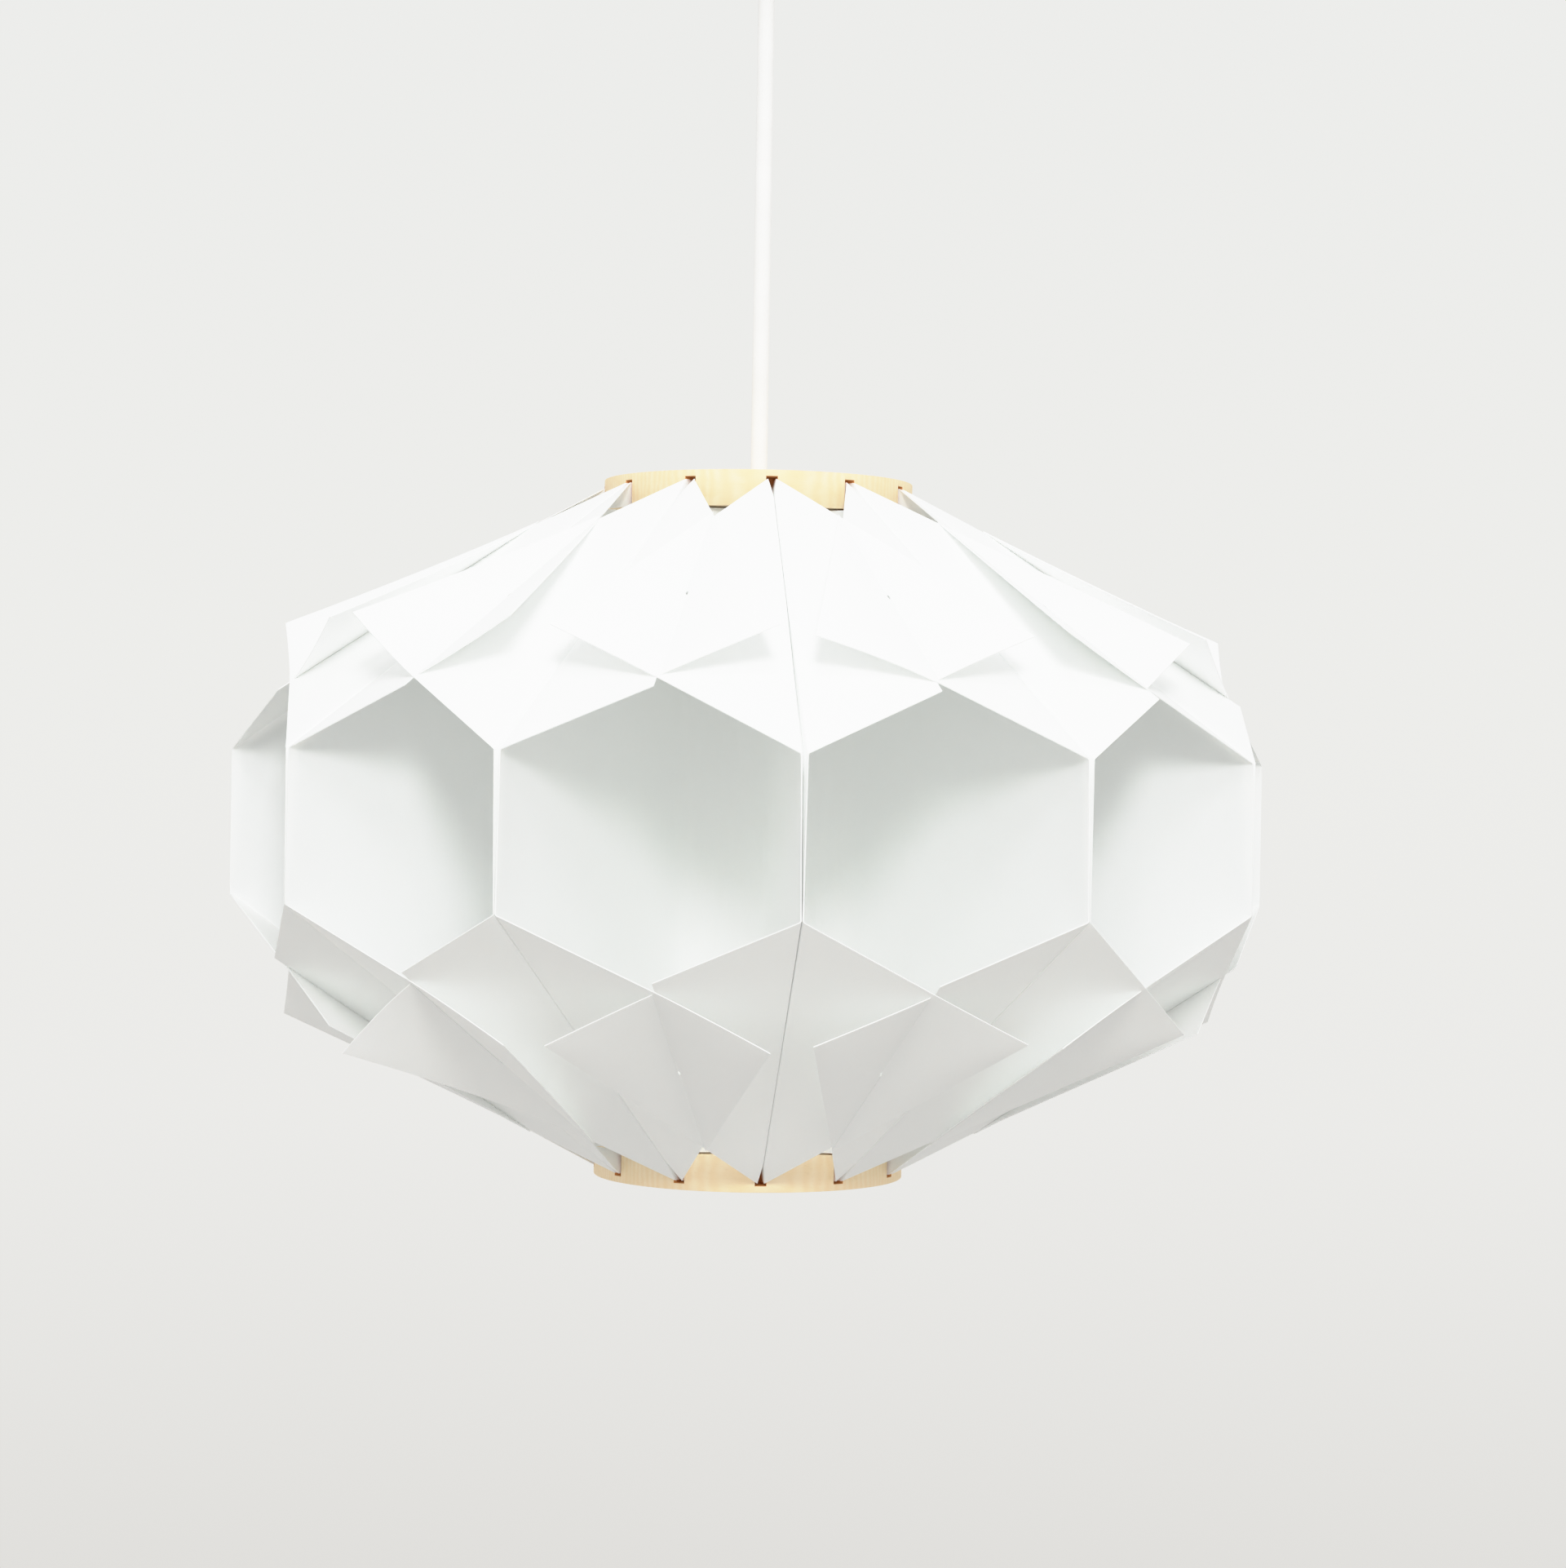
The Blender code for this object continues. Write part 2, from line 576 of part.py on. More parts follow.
def bulb():
    top = BULB_TOP
    low = top - BULB_TIP_HEIGHT
    contact = [(0.0, top), (0.0035, top), (0.0045, top - 0.0010), (0.0045, low), (0.0, low)]
    turned("bulb_contact", contact, brass(), closed=False, segments=24, lift=SHADE_MID)
    cap_top = low - GAP
    rim = top - BULB_CAP_LENGTH
    lining = BULB_CAP_RADIUS - BULB_CAP_WALL
    cap = [(0.0, cap_top), (0.0060, cap_top), (BULB_CAP_RADIUS, cap_top - 0.0045), (BULB_CAP_RADIUS, rim),
           (lining, rim), (lining, rim + BULB_COLLAR), (0.0, rim + BULB_COLLAR)]
    turned("bulb_screw_cap", cap, steel(), closed=False, lift=SHADE_MID)

    outer, centre, flare_low = globe_profile(rim)
    inner = []
    for radius, z in reversed(outer):
        if z > flare_low:
            inner.append((radius - BULB_WALL, z))
        else:
            shrink = 1 - BULB_WALL / BULB_RADIUS
            inner.append((radius * shrink, centre + (z - centre) * shrink))
    turned("bulb_glass", outer + inner, opal_glass(), segments=32, lift=SHADE_MID)


def main():
    clear_scene()
    ceiling_cup()
    ceiling_bracket()
    cup_screws()
    terminal_block()
    cord_grip()
    cords()
    lampholder()
    bulb()
    hub("top_hub", 1, TOP_HOLE_RADIUS)
    hub("bottom_hub", -1, BOTTOM_HOLE_RADIUS)
    paper_leaves()


main()
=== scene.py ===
"""Looks of the paper leaf pendant lamp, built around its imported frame.

Metres and +Z up, as in the frame.  The lamp hangs below z = 0.  Every visible piece but the centre contact
gets a mesh of its own here, where its node stands in the frame, and each gets a procedural material.
"""
import json
import math
import random

import bmesh
import bpy
import numpy as np
from mathutils import Matrix, Vector, noise

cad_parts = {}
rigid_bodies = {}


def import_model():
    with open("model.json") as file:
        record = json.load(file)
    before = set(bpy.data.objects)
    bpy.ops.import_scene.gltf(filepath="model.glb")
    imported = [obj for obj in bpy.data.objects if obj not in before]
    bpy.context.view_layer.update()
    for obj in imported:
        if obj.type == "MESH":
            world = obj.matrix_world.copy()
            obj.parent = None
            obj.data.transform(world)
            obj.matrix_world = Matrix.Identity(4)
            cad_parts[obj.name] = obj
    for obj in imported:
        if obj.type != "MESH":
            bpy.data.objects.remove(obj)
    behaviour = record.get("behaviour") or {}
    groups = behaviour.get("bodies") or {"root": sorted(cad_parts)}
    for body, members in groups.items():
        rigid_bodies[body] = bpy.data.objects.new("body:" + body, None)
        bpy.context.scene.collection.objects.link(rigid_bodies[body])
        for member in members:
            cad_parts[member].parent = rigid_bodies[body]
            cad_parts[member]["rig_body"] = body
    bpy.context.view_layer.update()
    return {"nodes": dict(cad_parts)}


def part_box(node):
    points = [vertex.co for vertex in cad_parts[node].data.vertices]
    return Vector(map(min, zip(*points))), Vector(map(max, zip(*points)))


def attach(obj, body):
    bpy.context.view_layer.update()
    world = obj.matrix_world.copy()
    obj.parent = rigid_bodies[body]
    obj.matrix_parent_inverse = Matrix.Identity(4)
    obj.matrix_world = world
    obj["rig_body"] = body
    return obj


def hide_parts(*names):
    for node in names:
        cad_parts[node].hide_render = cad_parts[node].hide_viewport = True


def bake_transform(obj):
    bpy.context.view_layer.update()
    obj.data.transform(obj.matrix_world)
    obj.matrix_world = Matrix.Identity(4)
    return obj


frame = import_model()

# ------------------------ places and sizes from the frame

HUB_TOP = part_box("top_hub")
HUB_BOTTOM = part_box("bottom_hub")
SHADE_MID = (HUB_TOP[1].z + HUB_BOTTOM[0].z) / 2
HUB_RADIUS = HUB_TOP[1].x
HUB_FACE = HUB_TOP[1].z - SHADE_MID
HUB_HEIGHT = HUB_TOP[1].z - HUB_TOP[0].z
HUB_UNDERSIDE = HUB_FACE - HUB_HEIGHT
LEAF_COUNT = 12
HALF_ANGLE = math.pi / LEAF_COUNT

# the leaf, as the part has it, but its back reaches 3 mm higher here and its sheet is thinner
KNEE_RADIUS, KNEE_HEIGHT = 0.200, 0.0275
TIP_RADIUS, TIP_HEIGHT = 0.0598, 0.1300
CORNER = Vector((0.1733, 0.0390, 0.0710))
BACK_RADIUS, BACK_TOP = 0.0700, 0.1195
TAB_RADIUS = 0.0515
SHEET = 0.00035
SLOT_WIDTH, SLOT_FLOOR, SLOT_RADIUS = 0.0043, 0.0024, 0.0490

CORD_RADIUS = (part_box("pendant_cord")[1].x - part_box("pendant_cord")[0].x) / 2
CORD_BORE = CORD_RADIUS + 0.0003    # of the pieces that the cord passes through closely

ON_AXIS = 1e-7                      # a ring with a radius below this is one point
SIDEWAYS = Matrix.Rotation(math.pi / 2, 4, "X")


def new_object(name, mesh, finish):
    thing = bpy.data.objects.new(name, mesh)
    bpy.context.scene.collection.objects.link(thing)
    mesh.materials.clear()
    for one in (finish if isinstance(finish, (list, tuple)) else [finish]):
        mesh.materials.append(one)
    return thing


def mesh_from(shape, name):
    """The finished bmesh as a mesh."""
    mesh = bpy.data.meshes.new(name)
    shape.to_mesh(mesh)
    shape.free()
    return mesh


def freeze(thing, sharp=35.0):
    """Apply the modifiers, shade smooth and keep edges above the angle sharp."""
    graph = bpy.context.evaluated_depsgraph_get()
    made = bpy.data.meshes.new_from_object(thing.evaluated_get(graph), depsgraph=graph)
    thing.modifiers.clear()
    thing.data = made
    made.shade_smooth()
    made.set_sharp_from_angle(angle=math.radians(sharp))


def stand_for(node, thing):
    """The new piece takes the place of a CAD node, and rides on that node's body."""
    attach(thing, frame["nodes"][node]["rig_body"])
    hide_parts(node)


# ------------------------ material building blocks

def set_stops(ramp, stops):
    elements = ramp.color_ramp.elements
    for index, (position, color) in enumerate(stops):
        element = elements[index] if index < 2 else elements.new(position)
        element.position = position
        element.color = (*color, 1.0)


class Nodes:
    """A material with a Principled shader, and short calls for the nodes that feed it."""

    def __init__(self, name, roughness=0.5, metallic=0.0, **sockets):
        self.material = bpy.data.materials.new(name)
        self.material.use_nodes = True
        self.tree = self.material.node_tree
        self.shader = self.tree.nodes["Principled BSDF"]
        self.set("Roughness", roughness)
        self.set("Metallic", metallic)
        for key, value in sockets.items():
            self.set(key.replace("_", " "), value)
        self.place = self.tree.nodes.new("ShaderNodeTexCoord").outputs["Object"]

    def set(self, socket, value):
        self.shader.inputs[socket].default_value = value

    def add(self, kind, **sockets):
        node = self.tree.nodes.new(f"ShaderNode{kind}")
        for key, value in sockets.items():
            node.inputs[key.replace("_", " ")].default_value = value
        return node

    def link(self, output, node, socket):
        self.tree.links.new(output, node.inputs[socket])

    def stretched(self, scale):
        node = self.add("Mapping", Scale=scale)
        self.link(self.place, node, "Vector")
        return node.outputs["Vector"]

    def noise(self, scale, detail=3.0, roughness=0.5, vector=None):
        node = self.add("TexNoise", Scale=scale, Detail=detail, Roughness=roughness)
        self.link(vector or self.place, node, "Vector")
        return node.outputs["Fac"]

    def wave(self, scale, distortion, vector, direction, detail, detail_scale):
        node = self.add("TexWave", Scale=scale, Distortion=distortion, Detail=detail,
                        Detail_Scale=detail_scale)
        node.bands_direction = direction
        self.link(vector, node, "Vector")
        return node.outputs["Fac"]

    def ramp(self, value, stops):
        node = self.add("ValToRGB")
        set_stops(node, stops)
        self.link(value, node, "Fac")
        return node.outputs["Color"]

    def mask(self, value, low, high, most):
        """0 up to low, and from there up to most at high, as the factor of a mix."""
        return self.ramp(value, [(low, (0.0,) * 3), (high, (most,) * 3)])

    def mix(self, factor, first, second):
        """Blend two colours, each of them a node's output or (red, green, blue)."""
        node = self.add("Mix")
        node.data_type = "RGBA"
        self.tree.links.new(factor, node.inputs[0])
        for socket, value in ((6, first), (7, second)):
            if isinstance(value, bpy.types.NodeSocket):
                self.tree.links.new(value, node.inputs[socket])
            else:
                node.inputs[socket].default_value = (*value, 1.0)
        return node.outputs[2]

    def color(self, output):
        self.link(output, self.shader, "Base Color")

    def roughness(self, value, low, high):
        node = self.add("MapRange", To_Min=low, To_Max=high)
        self.link(value, node, "Value")
        self.link(node.outputs["Result"], self.shader, "Roughness")

    def bump(self, height, strength, distance, under=None):
        node = self.add("Bump", Strength=strength, Distance=distance)
        self.link(height, node, "Height")
        if under is not None:
            self.link(under, node, "Normal")
        self.link(node.outputs["Normal"], self.shader, "Normal")
        return node.outputs["Normal"]


def paper_material():
    made = Nodes("white_paper", 0.88, Specular_IOR_Level=0.25, Subsurface_Weight=0.30,
                 Subsurface_Scale=0.0015, Subsurface_Radius=(1.0, 0.9, 0.85))
    cloud = made.noise(38.0, 4.0)
    fibre = made.noise(900.0, 5.0, 0.65, made.stretched((1.0, 1.0, 0.45)))
    tone = made.ramp(cloud, [(0.25, (0.957, 0.966, 0.959)), (0.75, (0.967, 0.974, 0.968))])
    made.color(made.mix(made.mask(fibre, 0.35, 0.75, 0.35), tone, (0.976, 0.979, 0.975)))
    made.roughness(fibre, 0.80, 0.95)
    cockle = made.bump(made.noise(26.0, 2.0), 0.25, 0.0008)
    made.bump(fibre, 0.30, 0.00012, cockle)
    return made.material


def wood_material():
    made = Nodes("light_wood", 0.62, Specular_IOR_Level=0.3)
    along = made.stretched((1.0, 7.0, 2.2))
    rings = made.wave(26.0, 5.0, along, "Y", 3.0, 1.6)
    streak = made.noise(240.0, 4.0, 0.6, made.stretched((0.06, 1.0, 0.9)))
    pores = made.noise(1500.0, 2.0, 0.5, made.stretched((0.10, 1.0, 1.0)))
    base = made.ramp(rings, [(0.0, (0.95, 0.755, 0.50)), (0.55, (0.965, 0.785, 0.54)),
                             (1.0, (0.975, 0.81, 0.575))])
    veined = made.mix(made.mask(streak, 0.35, 0.70, 0.40), base, (0.90, 0.70, 0.41))
    made.color(made.mix(made.mask(pores, 0.62, 0.78, 0.25), veined, (0.78, 0.57, 0.31)))
    made.roughness(streak, 0.52, 0.75)
    made.bump(pores, 0.25, 0.0001, made.bump(rings, 0.12, 0.0003))
    return made.material


def scorched_and_shaded_wood_material():
    """Walls of the slots: orange-brown, partly the browning where they were cut and partly painted shade of
    the slot's recess.
    """
    made = Nodes("scorched_and_shaded_wood", 0.85, Specular_IOR_Level=0.2)
    scorch_and_shade = made.noise(420.0, 5.0, 0.6, made.stretched((1.0, 1.0, 0.25)))
    # browning from the cut, made darker still with painted shade, as if the slot were in shadow
    made.color(made.ramp(scorch_and_shade, [(0.25, (0.62, 0.25, 0.08)), (0.55, (0.80, 0.42, 0.16)),
                                (0.8, (0.88, 0.55, 0.26))]))
    made.bump(scorch_and_shade, 0.4, 0.0002)
    return made.material


def textile_material():
    made = Nodes("white_textile", 0.92, Specular_IOR_Level=0.2, Sheen_Weight=0.35, Sheen_Roughness=0.5)
    yarn = made.noise(2600.0, 3.0, 0.6, made.stretched((1.0, 1.0, 0.35)))
    dust = made.noise(60.0, 3.0)
    tone = made.ramp(dust, [(0.3, (0.87, 0.87, 0.855)), (0.7, (0.93, 0.93, 0.92))])
    made.color(made.mix(made.mask(yarn, 0.35, 0.7, 0.5), tone, (0.96, 0.96, 0.95)))
    made.bump(yarn, 0.5, 0.00015)
    return made.material


def plastic_material(name, tone, roughness=0.38):
    made = Nodes(name, roughness, Specular_IOR_Level=0.5)
    mottle = made.noise(45.0, 3.0)
    grain = made.noise(2200.0, 2.0)
    dark = tuple(channel * 0.96 for channel in tone)
    made.color(made.ramp(mottle, [(0.3, dark), (0.7, tone)]))
    made.roughness(grain, roughness - 0.06, roughness + 0.10)
    made.bump(grain, 0.08, 0.00006)
    return made.material


def metal_material(name, tone, roughness):
    made = Nodes(name, roughness, 1.0)
    scratch = made.noise(700.0, 4.0, 0.6, made.stretched((1.0, 1.0, 12.0)))
    stain = made.noise(90.0, 3.0)
    dark = tuple(channel * 0.78 for channel in tone)
    made.color(made.mix(made.mask(stain, 0.35, 0.75, 0.6), tone, dark))
    made.roughness(scratch, roughness - 0.08, roughness + 0.16)
    made.bump(scratch, 0.10, 0.00005)
    return made.material


def ceramic_material():
    made = Nodes("white_ceramic", 0.45, Specular_IOR_Level=0.45)
    speck = made.noise(1200.0, 3.0, 0.6)
    made.color(made.ramp(speck, [(0.30, (0.74, 0.72, 0.68)), (0.55, (0.86, 0.85, 0.82))]))
    made.bump(speck, 0.2, 0.0001)
    return made.material


def rubber_material():
    made = Nodes("grey_rubber", 0.85, Specular_IOR_Level=0.3)
    grain = made.noise(1400.0, 3.0, 0.6)
    made.color(made.ramp(grain, [(0.3, (0.055, 0.055, 0.057)), (0.7, (0.10, 0.10, 0.10))]))
    made.bump(grain, 0.3, 0.0001)
    return made.material


def opal_material():
    """Opal bulb glass: a milky coating inside a smooth clear skin."""
    made = Nodes("opal_glass", 0.12, Specular_IOR_Level=0.5, Coat_Weight=0.6, Coat_Roughness=0.04,
                 Subsurface_Weight=0.4, Subsurface_Scale=0.002, Subsurface_Radius=(1.0, 0.9, 0.8))
    powder = made.noise(160.0, 4.0, 0.55)
    made.color(made.ramp(powder, [(0.3, (0.87, 0.87, 0.85)), (0.7, (0.93, 0.93, 0.92))]))
    return made.material


PAPER = paper_material()
WOOD = wood_material()
SCORCHED_AND_SHADED_WOOD = scorched_and_shaded_wood_material()
TEXTILE = textile_material()
CUP_PLASTIC = plastic_material("white_cup_plastic", (0.86, 0.86, 0.84))
HOLDER_PLASTIC = plastic_material("white_holder_plastic", (0.84, 0.84, 0.82), 0.30)
TERMINAL_PLASTIC = plastic_material("pale_terminal_plastic", (0.74, 0.74, 0.70), 0.45)
STEEL = metal_material("zinc_steel", (0.60, 0.61, 0.62), 0.32)
BRASS = metal_material("brass", (0.80, 0.62, 0.30), 0.28)
BULB_METAL = metal_material("rolled_aluminium", (0.78, 0.78, 0.79), 0.26)
CERAMIC = ceramic_material()
RUBBER = rubber_material()
OPAL = opal_material()


# ------------------------ camera

CAMERA_DISTANCE = 1.260             # from the lamp's axis
CAMERA_RISE = 0.0175                # above the shade's middle
CAMERA_SIDE = 0.0113                # to the right of the lamp's axis
CAMERA_TURN = math.radians(-5.24)   # round the lamp, from straight in front of a seam
CAMERA_ROLL = math.radians(0.93)
LENS = 74.7


def make_camera():
    data = bpy.data.cameras.new("camera")
    data.sensor_width = 36.0
    data.lens = LENS
    data.clip_start, data.clip_end = 0.01, 50.0
    camera = bpy.data.objects.new("camera", data)
    bpy.context.scene.collection.objects.link(camera)
    camera.matrix_world = (
        Matrix.Rotation(CAMERA_TURN, 4, "Z")
        @ Matrix.Translation((CAMERA_SIDE, -CAMERA_DISTANCE, SHADE_MID + CAMERA_RISE))
        @ Matrix.Rotation(math.pi / 2, 4, "X")
        @ Matrix.Rotation(CAMERA_ROLL, 4, "Z"))
    bpy.context.scene.camera = camera


# ------------------------ turned pieces

def turned(name, profile, finish, segments=96, closed=True, bevel=0.0, relief=None):
    """Solid of revolution about Z from (radius, z) points that run down the outer side.

    relief(radius, z, angle) may change the radius, for a thread or ribs.
    """
    shape = bmesh.new()
    rings = []
    for radius, z in profile:
        if radius < ON_AXIS:
            rings.append([shape.verts.new((0.0, 0.0, z))])
            continue
        ring = []
        for i in range(segments):
            angle = 2 * math.pi * i / segments
            reach = relief(radius, z, angle) if relief else radius
            ring.append(shape.verts.new((reach * math.cos(angle), reach * math.sin(angle), z)))
        rings.append(ring)
    pairs = list(zip(rings, rings[1:])) + ([(rings[-1], rings[0])] if closed else [])
    for upper, lower in pairs:
        if len(upper) == 1 and len(lower) == 1:
            continue
        for i in range(segments):
            j = (i + 1) % segments
            if len(upper) == 1:
                shape.faces.new((upper[0], lower[i], lower[j]))
            elif len(lower) == 1:
                shape.faces.new((upper[i], lower[0], upper[j]))
            else:
                shape.faces.new((upper[i], lower[i], lower[j], upper[j]))
    bmesh.ops.recalc_face_normals(shape, faces=shape.faces)
    thing = new_object(name, mesh_from(shape, name), finish)
    if bevel:
        soften(thing, bevel, 40.0)
    else:
        freeze(thing)
    return thing


def soften(thing, width, angle=50.0):
    """Bevel the edges that are sharper than this angle."""
    bevel = thing.modifiers.new("Bevel", "BEVEL")
    bevel.width = width
    bevel.segments = 2
    bevel.limit_method = "ANGLE"
    bevel.angle_limit = math.radians(angle)
    bevel.use_clamp_overlap = True
    freeze(thing)


def cut(thing, tool):
    boolean = thing.modifiers.new("Cut", "BOOLEAN")
    boolean.operation = "DIFFERENCE"
    boolean.solver = "EXACT"
    boolean.object = tool
    freeze(thing)
    bpy.data.objects.remove(tool, do_unlink=True)


def tool_from(shape):
    tool = bpy.data.objects.new("tool", mesh_from(shape, "tool"))
    bpy.context.scene.collection.objects.link(tool)
    return tool


def arc(centre, radius, start, end, steps):
    """Points of an arc in the (radius, z) plane, angles in degrees from straight outwards."""
    points = []
    for i in range(steps + 1):
        turn = math.radians(start + (end - start) * i / steps)
        points.append((centre[0] + radius * math.cos(turn), centre[1] + radius * math.sin(turn)))
    return points


# ------------------------ cord

CORD_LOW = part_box("pendant_cord")[0].z
CORD_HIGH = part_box("cord_in_cup")[1].z
STRANDS = 16                        # yarn bundles that wind each way
BRAID_PITCH = 0.0115                # rise of a bundle in one turn
BRAID_DEPTH = 0.00016
BRAID_VALLEY = 0.35                 # height between two bundles, as a share of the depth
BRAID_ROUNDING = 0.6                # lower makes the bundles' backs flatter


def braid_height(turn, z):
    """Height of a two-over, two-under braid on the sleeve, from 0 to 1."""
    right = STRANDS * (turn / (2 * math.pi) + z / BRAID_PITCH)
    left = STRANDS * (turn / (2 * math.pi) - z / BRAID_PITCH)
    over = math.cos(math.pi * (right + left) / 2 + math.pi / 4) > 0
    across = right if over else left
    return BRAID_VALLEY + (1 - BRAID_VALLEY) * abs(math.sin(math.pi * across)) ** BRAID_ROUNDING


def make_cord():
    """Braided sleeve from the lampholder's clamp up to the terminals, as one tube."""
    around, step = 64, 0.00042
    rows = round((CORD_HIGH - CORD_LOW) / step)
    co, faces = [], []
    for row in range(rows + 1):
        z = CORD_LOW + (CORD_HIGH - CORD_LOW) * row / rows
        for i in range(around):
            turn = 2 * math.pi * i / around
            radius = CORD_RADIUS - BRAID_DEPTH * (1 - braid_height(turn, z))
            co.append((radius * math.cos(turn), radius * math.sin(turn), z))
    for row in range(rows):
        for i in range(around):
            j = (i + 1) % around
            low, high = row * around, (row + 1) * around
            faces.append((low + i, low + j, high + j, high + i))
    faces.append(tuple(reversed(range(around))))
    faces.append(tuple(range(rows * around, (rows + 1) * around)))
    mesh = bpy.data.meshes.new("braided_cord")
    mesh.from_pydata(co, [], faces)
    mesh.shade_smooth()
    mesh.set_sharp_from_angle(angle=math.radians(60))
    cord = new_object("braided_cord", mesh, TEXTILE)
    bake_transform(cord)
    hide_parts("pendant_cord", "cord_in_cup")
    return cord


make_camera()
CORD = make_cord()


# ------------------------ paper leaves

RIDGE_STEPS = 22                    # rows of the mesh along a wing's fold
WALL_COLUMNS = 7
FOLD_ROUNDING = 0.0004
FOLD_DEPTH = 0.004                  # behind a fold, where neighbouring leaves close up on each other
WING_COLUMNS = 8
BACK_COLUMNS = 12
SLIT_HALF_WIDTH = 0.0005
PINHOLE_RADIUS = 0.0007
PINHOLE_SHARE = 0.5                 # where two wings' half slits meet, along the line where they cross
TAB_FOOT = 0.1222
TAB_ROWS = (TIP_HEIGHT, 0.1262, TAB_FOOT, 0.1208, BACK_TOP)     # the mesh's rows above the back
PINHOLE_ROWS = (-0.0030, -0.0014, -0.0005, 0.0005, 0.0014, 0.0030)      # and round the pinhole
ROW_CLEARANCE = 0.0020              # the even rows keep this far from the pinhole's
MOUTH_STEPS = 8                     # steps of the mesh from the upper to the lower knee
SEED = 4100
GAP_SPREAD = (0.85, 1.15)           # each side of a leaf draws its own factor of the gap
BOW_RANGE = (0.0004, 0.0014)        # how far a wing bulges
WALL_OFFSET, WALL_RIPPLE = 0.00026, 0.00004     # behind the folds, from the plane between two leaves
RIPPLE_SCALE = 22.0
CREASE_OFFSET = 0.0008              # from that plane to the tip and knee that set out a wing's slits
CURL_POWER = 1.6
PETAL_END = 0.97                    # the petal's last column, before the free corner itself
# half the gap between neighbouring leaves' folds, by height
GAP_HEIGHTS = (-0.130, -0.1215, -0.080, -0.0275, 0.0275, 0.080, 0.1235, 0.130)
GAP_WIDTHS = (0.00125, 0.00023, 0.00022, 0.00032, 0.00105, 0.00026, 0.00025, 0.00150)
OPEN_SEAMS = {(12, -1), (11, 1)}     # (leaf, side) where the upper folds stand further apart
OPEN_SEAM = 0.0008
# how far the slits' open ends shift along the line where the wings cross
SLIT_JOG_TIP, SLIT_JOG_KNEE, SLIT_SAG_KNEE = 0.0023, 0.0019, 0.0050
# how far each free corner curls outwards, in mm: upper left, upper right, lower left, lower right as seen
# from outside.  Hands folded the leaves, so no two are the same.
CORNER_CURLS = {
    1: (-7.5, -3.5, -2.0, -1.5), 2: (1.0, -1.0, 2.0, 0.0), 3: (4.0, 8.0, 1.5, 3.0), 4: (2.0, 5.5, -1.0, 4.0),
    5: (-2.0, 3.0, 3.5, 1.0), 6: (4.5, -1.5, 0.5, 5.0), 7: (-3.0, 2.5, 1.0, -2.0), 8: (3.0, 6.0, 4.0, -1.0),
    9: (-1.0, 2.0, 6.0, 2.5), 10: (9.0, 7.5, 3.0, 1.0), 11: (9.5, 4.0, 18.0, 3.0), 12: (-2.0, -1.0, 2.0, 2.5)}


def along_fold(height):
    """0 at the fold's tip, 1 at its knee."""
    return (TIP_HEIGHT - abs(height)) / (TIP_HEIGHT - KNEE_HEIGHT)


def fold_heights():
    """Heights of the mesh's rows from the tip down to the knee, close together round the pinhole."""
    pinhole = TIP_HEIGHT - PINHOLE_SHARE * (TIP_HEIGHT - KNEE_HEIGHT)
    near = [pinhole + step for step in PINHOLE_ROWS]
    even = [BACK_TOP + (KNEE_HEIGHT - BACK_TOP) * i / RIDGE_STEPS for i in range(1, RIDGE_STEPS + 1)]
    even = [z for z in even if min(abs(z - other) for other in near) > ROW_CLEARANCE]
    return sorted([*TAB_ROWS, *near, *even], reverse=True)


def fold_radius(height):
    if abs(height) <= KNEE_HEIGHT:
        return KNEE_RADIUS
    return TIP_RADIUS + (KNEE_RADIUS - TIP_RADIUS) * along_fold(height)


def inner_radius(height):
    """Where the side wall ends inwards: the round back, or the tab in the hub's slot."""
    if abs(height) <= BACK_TOP:
        return BACK_RADIUS
    share = min(1.0, (abs(height) - BACK_TOP) / (TAB_FOOT - BACK_TOP))
    return BACK_RADIUS + (TAB_RADIUS - BACK_RADIUS) * share


def wall_point(radius, height, side, offset):
    """Point at this offset from the plane between two leaves.  The leaf's middle lies along +X."""
    x = radius * math.cos(HALF_ANGLE) + offset * math.sin(HALF_ANGLE)
    y = radius * math.sin(HALF_ANGLE) - offset * math.cos(HALF_ANGLE)
    return Vector((x, side * y, height))


